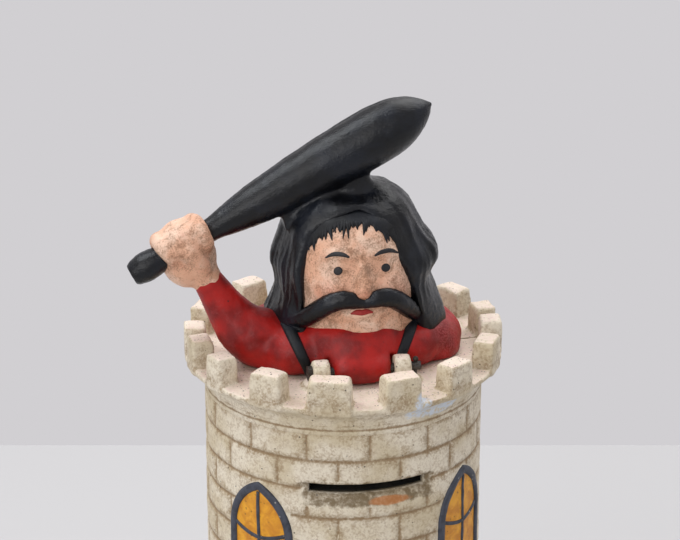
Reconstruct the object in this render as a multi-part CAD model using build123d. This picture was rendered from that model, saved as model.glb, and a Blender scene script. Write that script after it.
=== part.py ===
from build123d import *
import math
import os

# A cast-iron castle-tower bank with a club-wielding figure that leans forward when a coin
# goes in. Millimetres. Origin: centre of the underside of the foot. +Z up, front -Y.

# ---- tower ----
wall_radius = 38.0
wall_thickness = 3.2
deck_top = 161.0
deck_thickness = 3.2
rim_overhang = 5.4
rim_lip = 1.2
flare_height = 7.4
foot_spread = 11.0
foot_height = 6.0
foot_wall = 4.7
plinth_step = 2.0
plinth_top = 23.2
plinth_bead = 2.2
flare_root_swell = 1.2

# ---- battlements ----
merlon_height = 7.8
merlon_depth = 6.0
merlon_width = 9.4
seam_merlon_width = 7.2
front_merlon_pitch = 25.0
back_merlon_pitch = 30.3
seam_merlon_offset = 6.6

# ---- windows and door, cast in relief ----
window_angle = 47.45
window_half_width = 10.5
window_sill_drop = 62.0
window_spring_drop = 41.2
window_arc_offset = 5.5
mullion_width = 1.2
mullion_share = 0.8
relief_sink = 0.8
frame_width = 2.3
frame_proud = 0.8
doorway_half_width = 14.0
doorway_spring = 58.0
doorway_sill = 23.2

# ---- coin slot ----
coin_diameter = 31.0
slot_height = 2.9
slot_drop = 26.9
slot_lip_height = 2.0
slot_lip_depth = 1.2
slot_side_clearance = 1.0

# ---- figure hinge ----
pivot_y = -25.5
pivot_height = 4.0
pin_radius = 1.2
pin_fit = 0.01
pin_running_clearance = 0.06
barrel_radius = 3.6
barrel_half_length = 8.2
ear_gap = 0.5
ear_width = 4.6
ear_radius = 3.4
pin_overhang = 2.7
pin_shank_lap = 0.3
pin_head_radius = 2.0
pin_head_thickness = 1.2
split_pin_radius = 0.45
split_pin_length = 6.4
split_pin_inset = 1.3
split_pin_eye = 1.7
hinge_notch_gap = 0.5
hinge_notch_side = 0.6

# ---- figure ----
figure_seam_y = -3.0
figure_wall = 3.4
deck_gap = 0.4
bust_centre = (0.6, -0.6)
bust_half_width = 32.4
bust_half_depth = 21.4
bust_height = 11.0
bust_shoulder = 6.0
head_centre = (1.6, -4.0)
# (radius, height above the base) of the turned head and hair, from neck to crown
head_outline = [(22.6, 3.0), (21.6, 17.0), (20.6, 27.0), (17.8, 38.0)]
crown_mid = (11.6, 46.2)
crown_height = 50.0
# places of the arm, fist and club: x, y, height above the deck
arm_shoulder = (-23.0, -7.0, 6.5)
arm_elbow = (-29.6, -6.0, 11.4)
arm_wrist = (-37.8, -4.6, 24.2)
arm_radii = (9.6, 6.9, 4.4)
fist_centre = (-42.9, -4.4, 32.0)
fist_radius = 8.4

# ---- club: a revolved body along a slanted axis ----
club_start = (-57.4, -4.0, 27.2)
club_length = 91.6
club_tilt = 28.0
club_grip_radius = 3.1
# (distance along the club, radius)
club_swell = [(24.0, 3.3), (34.0, 5.1), (48.0, 6.5), (60.0, 7.3), (71.0, 7.6), (78.0, 7.2), (85.5, 4.9)]
club_nose_radius = 1.4
club_nose_length = 1.0
club_grip_chamfer = 0.8
web_thickness = 7.0
web_sink = 3.0
web_low_x = -17.0
web_high_x = 8.0
# (x, height above the figure's base) of the web's root, inside the wall of the head
web_root = [(-15.2, 39.2), (-10.4, 45.4), (-5.0, 48.2), (7.0, 48.2)]

# ---- figure screws ----
figure_screw_radius = 1.3
figure_screw_clearance = 0.12
figure_screw_head_radius = 2.3
figure_screw_head_height = 1.4
figure_screw_head_clearance = 0.4
figure_boss_radius = 3.4
# (x, height above the deck, y of the head's seat)
figure_screw_places = [(0.8, 33.0, 10.6), (-19.0, 5.0, 14.2), (19.0, 5.0, 14.2)]
figure_screw_reach = 9.0

# ---- coin lever ----
lever_front_y = -17.5
lever_thickness = 2.5
lever_width = 7.0
lever_top_height = 15.5
lever_below_slot = 1.5
paddle_width = 18.0
paddle_height = 7.0
lever_rivet_radius = 1.1
lever_rivet_head_radius = 2.0
lever_rivet_head_height = 1.0
lever_rivet_reach = 4.0
# heights above the deck
lever_rivet_heights = (8.0, 13.0)
lever_pad_margin = 1.5
lever_pad_above = 0.8
hatch_half_width = 11.0
hatch_front_y = -21.0
hatch_back_y = -11.0

# ---- coin shelf ----
shelf_thickness = 1.4
shelf_edge_y = -22.5
shelf_drop = 0.2
shelf_flange_depth = 10.0
shelf_lip_height = 3.6
shelf_side_clearance = 1.2
shelf_lug_x = 11.0
shelf_lug_width = 8.0
shelf_screw_radius = 1.3
shelf_screw_head_radius = 2.5
shelf_screw_head_height = 1.2
shelf_screw_reach = 6.0
shelf_screw_rise = 3.4
shelf_screw_clearance = 0.1
shelf_wall_gap = 0.25
shelf_seat_gap = 0.4

# ---- tie screws through the two halves ----
tie_low_height = 30.0
tie_below_slot = 30.1
tie_radius = 2.0
tie_clearance = 0.12
tie_boss_radius = 5.0
tie_back_boss = 4.5
tie_front_boss = 10.0
tie_thread = 8.5
tie_head_radius = 4.2
tie_head_height = 2.4
tie_washer_radius = 5.0
tie_washer_thickness = 0.6
tie_seat_proud = 0.6
tie_seat_margin = 0.8
tie_head_rounding = 1.44
driver_slot_width = 0.9
driver_slot_depth = 0.7
small_driver_slot_width = 0.8
small_driver_slot_depth = 0.6
bore_overrun = 0.6

# ---- alignment lugs on the front half, inside the seam ----
seam_lug_low = 48.0
seam_lug_drop = 37.0
seam_lug_root = 6.0
seam_lug_size = (3.0, 5.0, 10.0)
seam_lug_clearance = 0.35

# ---- base plate and coin door ----
plate_bottom = 5.0
plate_thickness = 2.5
plate_clearance = 0.3
plate_ledge = 3.3
plate_screw_inset = 6.8
plate_screw_clearance = 0.1
plate_screw_radius = 1.5
plate_screw_head_radius = 3.0
plate_screw_length = 10.0
plate_boss_radius = 4.0
plate_boss_height = 11.0
plate_boss_trim = 2.0
door_hole_radius = 16.5
door_hole_y = -17.5
door_overlap = 1.8
door_thickness = 2.4
door_gap = 0.3
door_pivot_x = 21.0
door_arm_width = 10.0
door_shoulder_radius = 2.5
door_running_clearance = 0.06
door_screw_radius = 1.5
door_screw_head_radius = 4.0
door_screw_head_height = 1.3
door_lock_reach = 3.4
door_ear_radius = 4.4
door_lock_clearance = 0.3
door_lock_head_radius = 3.6
door_nut_across = 5.5
door_nut_height = 2.0
door_thread_proud = 0.5
door_lock_proud = 1.5
door_washer_gap = 0.02
door_washer_bore_gap = 0.05
door_arm_taper = 0.85
thread_gap = 0.02

# ---- how far cutting tools run past what they cut, and joined solids overlap ----
past = 5.0
lap = 0.5

# ---- values worked out from the above ----
inner_radius = wall_radius - wall_thickness
rim_radius = wall_radius + rim_overhang
foot_radius = wall_radius + foot_spread
deck_bottom = deck_top - deck_thickness
rim_height = deck_top + merlon_height
foot_bore = foot_radius - foot_wall
plate_top = plate_bottom + plate_thickness
figure_base_z = deck_top + deck_gap
pivot_z = deck_top + pivot_height
slot_bottom = deck_top - slot_drop
window_sill = deck_top - window_sill_drop
window_spring = deck_top - window_spring_drop
slot_top = slot_bottom + slot_height
slot_half_width = coin_diameter / 2 + slot_side_clearance
lever_top_z = deck_top + lever_top_height
lever_bottom_z = slot_bottom - lever_below_slot
lever_rivet_levels = [deck_top + height for height in lever_rivet_heights]
tie_heights = (tie_low_height, slot_bottom - tie_below_slot)
seam_lug_heights = (seam_lug_low, deck_top - seam_lug_drop)
plate_screw_circle = foot_bore - plate_screw_inset
ear_inner_x = barrel_half_length + ear_gap
ear_outer_x = ear_inner_x + ear_width
pin_reach = ear_outer_x + pin_overhang
door_radius = door_hole_radius + door_overlap
door_top = plate_bottom - door_gap
door_bottom = door_top - door_thickness


def along_y(radius, y_low, y_high, x, z):
    """A cylinder on an axis parallel to Y."""
    rod = Cylinder(radius, y_high - y_low, rotation=(90, 0, 0))
    return Pos(x, (y_low + y_high) / 2, z) * rod


def along_x(radius, x_low, x_high, y, z):
    """A cylinder on an axis parallel to X."""
    rod = Cylinder(radius, x_high - x_low, rotation=(0, 90, 0))
    return Pos((x_low + x_high) / 2, y, z) * rod


def upright(radius, z_low, z_high, x, y):
    """A cylinder on an axis parallel to Z."""
    return Pos(x, y, (z_low + z_high) / 2) * Cylinder(radius, z_high - z_low)


def block(x_low, x_high, y_low, y_high, z_low, z_high):
    """A box between two corners."""
    size = Box(x_high - x_low, y_high - y_low, z_high - z_low)
    return Pos((x_low + x_high) / 2, (y_low + y_high) / 2, (z_low + z_high) / 2) * size


def over_deck(place):
    """A place given as x, y and height above the deck, in the part's frame."""
    x, y, height = place
    return x, y, deck_top + height


def around(angle, radius=0.0):
    """A place at an angle from the front, positive towards +X, facing outwards along -Y."""
    return Rot(0, 0, angle) * Pos(0, -radius, 0)


# ---------------------------------------------------------------- tower castings

def tower_shell():
    """The full turned body: foot, plinth, wall, flare and deck."""
    ledge_radius = foot_bore - plate_ledge
    outline = [
        (foot_bore, 0),
        (foot_radius, 0),
        (foot_radius, foot_height),
        (foot_radius - plinth_step, foot_height + plinth_step),
        (foot_radius - plinth_step, foot_height + 2.5 * plinth_step),
        (wall_radius + plinth_bead, plinth_top - 2.2 * plinth_step),
        (wall_radius + plinth_bead, plinth_top - plinth_step),
        (wall_radius, plinth_top),
        (wall_radius, deck_top - flare_height),
        (wall_radius + flare_root_swell, deck_top - 0.6 * flare_height),
        (rim_radius, deck_top - rim_lip),
        (rim_radius, deck_top),
        (0, deck_top),
        (0, deck_bottom),
        (inner_radius, deck_bottom),
        (inner_radius, plinth_top - 3),
        (ledge_radius, plate_top),
        (foot_bore, plate_top),
    ]
    profile = make_face(Polyline([(r, 0, z) for r, z in outline], close=True))
    return revolve(profile, Axis.Z)


def merlon_angles():
    """Angle and width of each merlon on the front half, then on the back half."""
    front = [((k + 0.5) * front_merlon_pitch, merlon_width) for k in range(-3, 3)]
    back = [(180 + k * back_merlon_pitch, merlon_width) for k in range(-2, 3)]
    for side in (-90, 90):
        inward = -1 if side > 0 else 1
        front.append((side + inward * seam_merlon_offset, seam_merlon_width))
        back.append((side - inward * seam_merlon_offset, seam_merlon_width))
    return front, back


def merlons(places):
    """Battlement teeth cut from a ring, so their faces follow the rim."""
    root = deck_top - rim_lip
    ring = upright(rim_radius, root, rim_height, 0, 0)
    ring -= upright(rim_radius - merlon_depth, root, rim_height, 0, 0)
    middle = rim_radius - merlon_depth / 2
    teeth = None
    for angle, width in places:
        tooth = around(angle, middle) * Pos(0, 0, (root + rim_height) / 2)
        tooth = tooth * Box(width, merlon_depth * 2, rim_height - root)
        teeth = tooth if teeth is None else teeth + tooth
    return ring & teeth


def lancet(half_width, sill, spring):
    """A pointed-arch prism that sticks out along -Y through the wall."""
    radius = half_width + window_arc_offset
    rise = math.sqrt(radius ** 2 - window_arc_offset ** 2)
    apex = (0, spring + rise)
    turn = math.atan2(rise, window_arc_offset) / 2
    right_mid = (radius * math.cos(turn) - window_arc_offset, spring + radius * math.sin(turn))
    left_mid = (-right_mid[0], right_mid[1])
    edges = [
        Line((-half_width, sill), (half_width, sill)),
        Line((half_width, sill), (half_width, spring)),
        ThreePointArc((half_width, spring), right_mid, apex),
        ThreePointArc(apex, left_mid, (-half_width, spring)),
        Line((-half_width, spring), (-half_width, sill)),
    ]
    face = make_face(Plane.XZ * Wire(edges))
    return Pos(0, -wall_radius - 4, 0) * extrude(face, amount=-14)


def relief(half_width, sill, spring, angle):
    """A raised arched frame with a mullion, following the round wall."""
    frame = lancet(half_width, sill, spring)
    frame -= lancet(half_width - frame_width, sill + frame_width, spring)
    top = spring + half_width * mullion_share
    half = mullion_width / 2
    frame += block(-half, half, -wall_radius - past, -wall_radius + past, sill, top)
    high = spring + 2 * half_width
    skin = upright(wall_radius + frame_proud, sill - past, high, 0, 0)
    skin -= upright(wall_radius - relief_sink, sill - past, high, 0, 0)
    return Rot(0, 0, angle) * (frame & skin)


def pivot_ears():
    """Two rounded ears on the deck that carry the hinge pin."""
    ears = None
    for side in (-1, 1):
        low, high = sorted((side * ear_inner_x, side * ear_outer_x))
        foot = block(low, high, pivot_y - ear_radius, pivot_y + ear_radius, deck_top - 1, pivot_z)
        ear = foot + along_x(ear_radius, low, high, pivot_y, pivot_z)
        ears = ear if ears is None else ears + ear
    return ears


def plate_screw_places():
    """The four base screws, as (x, y)."""
    reach = plate_screw_circle / math.sqrt(2)
    return [(sx * reach, sy * reach) for sx in (-1, 1) for sy in (-1, 1)]


def plate_bosses():
    """Bosses inside the plinth for the base screws."""
    bosses = None
    for x, y in plate_screw_places():
        boss = upright(plate_boss_radius, plate_top, plate_top + plate_boss_height, x, y)
        bosses = boss if bosses is None else bosses + boss
    return bosses & upright(wall_radius + plate_boss_trim, 0, deck_top, 0, 0)


def plate_screw_bores():
    """Blind tapped holes for the base screws."""
    bores = None
    for x, y in plate_screw_places():
        radius = plate_screw_radius + thread_gap
        bore = upright(radius, plate_top - past, plate_bottom + plate_screw_length + bore_overrun, x, y)
        bores = bore if bores is None else bores + bore
    return bores


def seam_lugs():
    """Tongues on the front half that reach behind the edge of the back half."""
    width, reach, height = seam_lug_size
    tip = math.sqrt((inner_radius - seam_lug_clearance) ** 2 - reach ** 2)
    lugs = None
    for side in (-1, 1):
        for z in seam_lug_heights:
            low, high = sorted((side * (tip - width), side * tip))
            tongue = block(low, high, -seam_lug_root, reach, z, z + height)
            low, high = sorted((side * (tip - width), side * (inner_radius + lap)))
            root = block(low, high, -seam_lug_root, -seam_lug_clearance, z, z + height)
            lug = tongue + root
            lugs = lug if lugs is None else lugs + lug
    return lugs


def shelf_lugs():
    """Two lugs under the slot that the coin shelf screws to."""
    lugs = None
    low_z = slot_bottom - shelf_drop - shelf_flange_depth
    high_z = slot_bottom - shelf_drop - shelf_thickness - shelf_seat_gap
    for side in (-1, 1):
        x = side * shelf_lug_x
        lug = block(
            x - shelf_lug_width / 2,
            x + shelf_lug_width / 2,
            -inner_radius - lap,
            shelf_edge_y - shelf_thickness,
            low_z,
            high_z,
        )
        lugs = lug if lugs is None else lugs + lug
    return lugs & upright(inner_radius + lap, low_z, high_z, 0, 0)


def shelf_screw_z():
    return slot_bottom - shelf_drop - shelf_flange_depth + shelf_screw_rise


def coin_slot():
    """The slot, with a bevelled lip below it on the outside."""
    front_y = -wall_radius - past
    back_y = -inner_radius * 0.7
    lip_bottom = slot_bottom - slot_lip_height
    slot = block(-slot_half_width, slot_half_width, front_y, back_y, slot_bottom, slot_top)
    lip = block(-slot_half_width, slot_half_width, front_y, back_y, lip_bottom, slot_top)
    lip -= upright(wall_radius - slot_lip_depth, lip_bottom - past, slot_top + past, 0, 0)
    return slot + lip


def tower_front():
    reach = foot_radius + past
    half = block(-reach, reach, -reach, 0, -past, rim_height + past)
    front_places = merlon_angles()[0]
    body = tower_shell() + merlons(front_places) + plate_bosses()
    body = body & half
    for angle in (-window_angle, window_angle):
        body += relief(window_half_width, window_sill, window_spring, angle)
    body += relief(doorway_half_width, doorway_sill, doorway_spring, 0)
    body += pivot_ears()
    body += shelf_lugs()
    body += seam_lugs()
    for z in tie_heights:
        boss_end = -inner_radius + tie_front_boss
        body += along_y(tie_boss_radius, -inner_radius - lap, boss_end, 0, z)
        thread_end = boss_end - tie_thread - bore_overrun
        body -= along_y(tie_radius + thread_gap, thread_end, boss_end + past, 0, z)
    body -= plate_screw_bores()
    body -= coin_slot()
    body -= block(-hatch_half_width, hatch_half_width, hatch_front_y, hatch_back_y,
                  deck_bottom - past, deck_top + lap)
    body -= along_x(pin_radius + pin_fit, -pin_reach, pin_reach, pivot_y, pivot_z)
    for side in (-1, 1):
        seat = shelf_edge_y - shelf_thickness
        body -= along_y(shelf_screw_radius + thread_gap, seat - shelf_screw_reach, seat + past,
                        side * shelf_lug_x, shelf_screw_z())
    return body


def tie_seat_y():
    return wall_radius + tie_seat_proud


def tower_back():
    reach = foot_radius + past
    half = block(-reach, reach, 0, reach, -past, rim_height + past)
    back_places = merlon_angles()[1]
    body = tower_shell() + merlons(back_places) + plate_bosses()
    body = body & half
    for angle in (180 - window_angle, 180 + window_angle):
        body += relief(window_half_width, window_sill, window_spring, angle)
    for z in tie_heights:
        radius = tie_washer_radius + tie_seat_margin
        seat = along_y(radius, inner_radius + lap, tie_seat_y(), 0, z)
        boss = along_y(tie_boss_radius, inner_radius - tie_back_boss, inner_radius + lap, 0, z)
        body += seat + boss
        body -= along_y(radius, tie_seat_y(), reach, 0, z)
        body -= along_y(tie_radius + tie_clearance, inner_radius - tie_back_boss - past, reach, 0, z)
    body -= plate_screw_bores()
    return body


def driver_slot_y(head, y, x, z):
    """Cut a screwdriver slot in a head that faces +Y."""
    half = driver_slot_width / 2
    return head - block(x - past, x + past, y - driver_slot_depth, y + past, z - half, z + half)


def tie_screws():
    """Two long round-headed screws from the back, in one node."""
    screws = []
    start = tie_seat_y() + tie_washer_thickness
    for z in tie_heights:
        head = along_y(tie_head_radius, start, start + tie_head_height, 0, z)
        head = fillet(head.edges().group_by(Axis.Y)[-1], tie_head_rounding)
        head = driver_slot_y(head, start + tie_head_height, 0, z)
        shank = along_y(tie_radius, -inner_radius + tie_front_boss - tie_thread, start + lap, 0, z)
        screws.append(head + shank)
    return Compound(children=[Part(s.wrapped) for s in screws])


def tie_washers():
    washers = []
    for z in tie_heights:
        disc = along_y(tie_washer_radius, tie_seat_y(), tie_seat_y() + tie_washer_thickness, 0, z)
        hole = along_y(tie_radius + tie_clearance, tie_seat_y() - past, tie_seat_y() + past, 0, z)
        washers.append(disc - hole)
    return Compound(children=[Part(w.wrapped) for w in washers])


# ---------------------------------------------------------------- coin shelf

def coin_shelf():
    """A bent plate under the slot that holds the coin level until it tips off the edge."""
    top = slot_bottom - shelf_drop
    half_width = coin_diameter / 2 + shelf_side_clearance
    tray = block(-half_width - shelf_thickness, half_width + shelf_thickness, -inner_radius, shelf_edge_y,
                 top - shelf_thickness, top)
    for side in (-1, 1):
        low, high = sorted((side * half_width, side * (half_width + shelf_thickness)))
        tray += block(low, high, -inner_radius, shelf_edge_y, top - shelf_thickness, top + shelf_lip_height)
    tray += block(-half_width, half_width, shelf_edge_y - shelf_thickness, shelf_edge_y,
                  top - shelf_flange_depth, top)
    room = upright(inner_radius - shelf_wall_gap, top - shelf_flange_depth - past, top + past, 0, 0)
    tray = tray & room
    for side in (-1, 1):
        bore_radius = shelf_screw_radius + shelf_screw_clearance
        lug_x = side * shelf_lug_x
        tray -= along_y(bore_radius, shelf_edge_y - past, shelf_edge_y + past, lug_x, shelf_screw_z())
    return tray


def shelf_screws():
    screws = []
    for side in (-1, 1):
        x = side * shelf_lug_x
        z = shelf_screw_z()
        head = along_y(shelf_screw_head_radius, shelf_edge_y, shelf_edge_y + shelf_screw_head_height, x, z)
        head = driver_slot_y(head, shelf_edge_y + shelf_screw_head_height, x, z)
        tip = shelf_edge_y - shelf_thickness - shelf_screw_reach + bore_overrun
        screws.append(head + along_y(shelf_screw_radius, tip, shelf_edge_y + lap, x, z))
    return Compound(children=[Part(s.wrapped) for s in screws])


# ---------------------------------------------------------------- base plate and coin door

def door_lock_place():
    """Where the lock screw stands, on the line from the pivot through the hole's centre."""
    dx = -door_pivot_x
    dy = door_hole_y
    length = math.hypot(dx, dy)
    reach = door_radius + door_lock_reach
    return dx / length * reach, door_hole_y + dy / length * reach


def base_plate():
    plate = upright(foot_bore - plate_clearance, plate_bottom, plate_top, 0, 0)
    plate -= upright(door_hole_radius, plate_bottom - past, plate_top + past, 0, door_hole_y)
    for x, y in plate_screw_places():
        depth = plate_screw_head_radius - plate_screw_radius
        bore_radius = plate_screw_radius + plate_screw_clearance
        plate -= upright(bore_radius, plate_bottom - past, plate_top + past, x, y)
        sink = Cone(plate_screw_head_radius, plate_screw_radius, depth)
        plate -= Pos(x, y, plate_bottom + depth / 2) * sink
    lock_x, lock_y = door_lock_place()
    for x, y in ((door_pivot_x, 0), (lock_x, lock_y)):
        plate -= upright(door_screw_radius + thread_gap, plate_bottom - past, plate_top + past, x, y)
    return plate


def small_driver_slot(screw, x, y, head_bottom):
    """Cut a screwdriver slot in a head that faces down."""
    half = small_driver_slot_width / 2
    return screw - block(x - past, x + past, y - half, y + half, head_bottom - past,
                         head_bottom + small_driver_slot_depth)


def plate_screws():
    """Four countersunk screws, flush with the plate."""
    screws = []
    for x, y in plate_screw_places():
        depth = plate_screw_head_radius - plate_screw_radius
        cone = Cone(plate_screw_head_radius, plate_screw_radius, depth)
        head = Pos(x, y, plate_bottom + depth / 2) * cone
        tip = plate_bottom + plate_screw_length
        shank = upright(plate_screw_radius, plate_bottom + depth - lap, tip, x, y)
        screws.append(small_driver_slot(head + shank, x, y, plate_bottom))
    return Compound(children=[Part(s.wrapped) for s in screws])


def coin_door():
    """A flat cover that swings level about its pivot screw to open the hole."""
    lock_x, lock_y = door_lock_place()
    cover = upright(door_radius, door_bottom, door_top, 0, door_hole_y)
    cover += upright(door_arm_width / 2, door_bottom, door_top, door_pivot_x, 0)
    cover += upright(door_ear_radius, door_bottom, door_top, lock_x, lock_y)
    length = math.hypot(door_pivot_x - lock_x, lock_y)
    angle = math.degrees(math.atan2(-lock_y, door_pivot_x - lock_x))
    arm = Box(length, door_arm_width * door_arm_taper, door_thickness)
    arm_place = Pos((door_pivot_x + lock_x) / 2, lock_y / 2, (door_bottom + door_top) / 2)
    cover += arm_place * Rot(0, 0, angle) * arm
    cover -= upright(door_shoulder_radius + door_running_clearance, 0, plate_bottom, door_pivot_x, 0)
    half = door_screw_radius + door_lock_clearance
    track = upright(length + half, 0, plate_bottom, door_pivot_x, 0)
    track -= upright(length - half, 0, plate_bottom, door_pivot_x, 0)
    beyond = block(0, 2 * length, 0, door_radius, 0, plate_bottom)
    trailing = Pos(door_pivot_x, 0, 0) * Rot(0, 0, 180 + angle) * beyond
    cover -= track & trailing
    cover -= upright(half, 0, plate_bottom, lock_x, lock_y)
    return cover


def low_screw_head(radius, x, y, head_top):
    head = upright(radius, head_top - door_screw_head_height, head_top, x, y)
    return small_driver_slot(head, x, y, head_top - door_screw_head_height)


def door_pivot_screw():
    """Shoulder screw: the head sits just under the door, the shoulder bears on the plate."""
    head_top = door_bottom - door_gap
    screw = low_screw_head(door_screw_head_radius, door_pivot_x, 0, head_top)
    screw += upright(door_shoulder_radius, head_top - lap, plate_bottom, door_pivot_x, 0)
    tip = plate_top + door_nut_height + door_thread_proud
    screw += upright(door_screw_radius, plate_bottom - lap, tip, door_pivot_x, 0)
    return screw


def door_lock_screw():
    lock_x, lock_y = door_lock_place()
    head_top = door_bottom - door_gap
    screw = low_screw_head(door_lock_head_radius, lock_x, lock_y, head_top)
    return screw + upright(door_screw_radius, head_top - lap, plate_top + door_lock_proud, lock_x, lock_y)


def door_washer():
    """A thin washer that keeps the door off the plate."""
    disc = upright(door_arm_width / 2, door_top + door_washer_gap, plate_bottom, door_pivot_x, 0)
    bore_radius = door_shoulder_radius + door_washer_bore_gap
    return disc - upright(bore_radius, 0, plate_bottom + past, door_pivot_x, 0)


def door_nut():
    """Lock nut on top of the plate, on the pivot screw."""
    hexagon = RegularPolygon(door_nut_across / 2, 6, major_radius=False)
    nut = Pos(door_pivot_x, 0, plate_top) * extrude(hexagon, amount=door_nut_height)
    bore_radius = door_screw_radius + thread_gap
    return nut - upright(bore_radius, plate_top - past, plate_top + past, door_pivot_x, 0)


# ---------------------------------------------------------------- hinge pin

def pivot_pin():
    """A headed pin through both ears, drilled near its plain end."""
    pin = along_x(pin_radius, -ear_outer_x - pin_shank_lap, pin_reach, pivot_y, pivot_z)
    pin += along_x(pin_head_radius, -ear_outer_x - pin_head_thickness, -ear_outer_x, pivot_y, pivot_z)
    x = pin_reach - split_pin_inset
    pin -= upright(split_pin_radius + thread_gap, pivot_z - past, pivot_z + past, x, pivot_y)
    return pin


def split_pin():
    """A wire pin through the end of the hinge pin."""
    x = pin_reach - split_pin_inset
    half = split_pin_length / 2
    eye_z = pivot_z + half * 0.6
    wire = upright(split_pin_radius, pivot_z - half, eye_z, x, pivot_y)
    eye = Pos(x, pivot_y, eye_z) * Sphere(split_pin_radius * split_pin_eye)
    return wire + eye


# ---------------------------------------------------------------- figure

def bust(inset=0.0):
    """Oval shoulders with a rounded top, or their hollow when inset."""
    low = figure_base_z - (1.0 if inset else 0.0)
    oval = Ellipse(bust_half_width - inset, bust_half_depth - inset)
    body = extrude(Plane((*bust_centre, low)) * oval, amount=figure_base_z + bust_height - inset - low)
    return fillet(body.edges().group_by(Axis.Z)[-1], bust_shoulder - inset * 0.6)


def head(inset=0.0):
    """Round head with its hair, or its hollow when inset."""
    neck = figure_base_z + head_outline[0][1] - inset * 0.5
    points = [(r - inset, 0, figure_base_z + h) for r, h in head_outline]
    points[0] = (points[0][0], 0, neck)
    top = (0, 0, figure_base_z + crown_height - inset)
    mid = (crown_mid[0] - inset * 0.7, 0, figure_base_z + crown_mid[1] - inset * 0.7)
    edges = [Line(p, q) for p, q in zip(points, points[1:])]
    edges.append(ThreePointArc(points[-1], mid, top))
    edges.append(Line(top, (0, 0, neck)))
    edges.append(Line((0, 0, neck), points[0]))
    return Pos(*head_centre, 0) * revolve(make_face(Wire(edges)), Axis.Z)


def limb(start, end, radius_start, radius_end):
    """A tapered round limb between two points, with round ends."""
    run = Vector(*end) - Vector(*start)
    cone = Plane(origin=start, z_dir=run) * Pos(0, 0, run.length / 2)
    body = cone * Cone(radius_start, radius_end, run.length)
    body += Pos(*start) * Sphere(radius_start)
    return body + Pos(*end) * Sphere(radius_end)


def arm():
    shoulder = over_deck(arm_shoulder)
    elbow = over_deck(arm_elbow)
    sleeve = limb(shoulder, elbow, arm_radii[0], arm_radii[1])
    sleeve += limb(elbow, over_deck(arm_wrist), arm_radii[1], arm_radii[2])
    under = figure_base_z - 2 * arm_radii[0]
    floor = block(-2 * bust_half_width, 0, -bust_half_depth, bust_half_depth, under, figure_base_z)
    return sleeve - floor


def fist():
    ball = Rot(0, -120, 0) * Rot(90, 0, 0) * Sphere(fist_radius)
    return Pos(*over_deck(fist_centre)) * ball


def club_axis():
    """Frame with Z along the club."""
    tilt = math.radians(club_tilt)
    return Plane(origin=over_deck(club_start), x_dir=(0, 1, 0), z_dir=(math.cos(tilt), 0, math.sin(tilt)))


def club():
    """Grip with a rounded end, a swelling body and a blunt point."""
    end = club_grip_chamfer
    nose_start = club_length - club_nose_length
    swell = Spline([(r, 0, s) for s, r in club_swell] + [(club_nose_radius, 0, nose_start)])
    start = club_swell[0]
    edges = [
        Line((0, 0, 0), (club_grip_radius - end, 0, 0)),
        Line((club_grip_radius - end, 0, 0), (club_grip_radius, 0, end)),
        Line((club_grip_radius, 0, end), (start[1], 0, start[0])),
        swell,
        Line((club_nose_radius, 0, nose_start), (0, 0, club_length)),
        Line((0, 0, club_length), (0, 0, 0)),
    ]
    body = revolve(make_face(Wire(edges)), Axis.Z)
    return club_axis() * body


def web():
    """Metal between the club and the crown of the head."""
    slope = math.tan(math.radians(club_tilt))
    root = [(x, figure_base_z + height) for x, height in web_root]
    start_x, _, start_z = over_deck(club_start)
    crest = [(x, start_z + (x - start_x) * slope - web_sink) for x in (web_high_x, web_low_x)]
    outline = Polyline(root + crest, close=True)
    face = make_face(Plane.XZ * outline)
    return Pos(0, club_start[1] + web_thickness / 2, 0) * extrude(face, amount=web_thickness)


def raised_arm():
    """Sleeve, fist and club, with nothing left inside the hollow of the figure."""
    hollow = bust(figure_wall) + head(figure_wall)
    return club() + web() + fist() + (arm() - hollow)


def figure_bosses(y_low, y_high):
    bosses = None
    for x, height, _ in figure_screw_places:
        boss = along_y(figure_boss_radius, y_low, y_high, x, figure_base_z + height)
        bosses = boss if bosses is None else bosses + boss
    return bosses


def shell_half(front):
    """One casting of the hollow figure, without the raised arm."""
    far = 2 * bust_half_width
    if front:
        half = block(-far, far, -far, figure_seam_y, deck_top, figure_base_z + crown_height + past)
    else:
        half = block(-far, far, figure_seam_y, far, deck_top, figure_base_z + crown_height + past)
    outer = (bust() + head()) & half
    hollow = bust(figure_wall) + head(figure_wall)
    ribs = figure_bosses(-far, far) & outer
    return outer - hollow + ribs


def hinge_notches():
    """Room round the ears and the ends of the pin, at every lean."""
    room = None
    reach = ear_radius + hinge_notch_gap
    pin_sweep = split_pin_length / 2 + hinge_notch_gap
    front_y = -bust_half_depth - bust_half_width
    for side in (-1, 1):
        low, high = sorted((side * barrel_half_length, side * (ear_outer_x + hinge_notch_side)))
        notch = along_x(reach, low, high, pivot_y, pivot_z)
        notch += block(low, high, front_y, pivot_y + reach, deck_top - past, pivot_z)
        low, high = sorted((side * ear_outer_x, side * (pin_reach + hinge_notch_side)))
        notch += along_x(pin_sweep, low, high, pivot_y, pivot_z)
        notch += block(low, high, front_y, pivot_y + split_pin_length / 2, deck_top - past, pivot_z)
        room = notch if room is None else room + notch
    return room


def hinge_barrel():
    """The shirt's front edge between the ears, bored for the pin, with a pad for the lever."""
    barrel = along_x(barrel_radius, -barrel_half_length, barrel_half_length, pivot_y, pivot_z)
    half = lever_width / 2 + lever_pad_margin
    pad = block(-half, half, pivot_y, lever_front_y, figure_base_z + 0.6, lever_top_z + lever_pad_above)
    neck = block(-barrel_half_length, barrel_half_length, pivot_y, lever_front_y - 2,
                 figure_base_z + 0.2, pivot_z + barrel_radius + 0.8)
    return barrel + pad + neck


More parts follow.
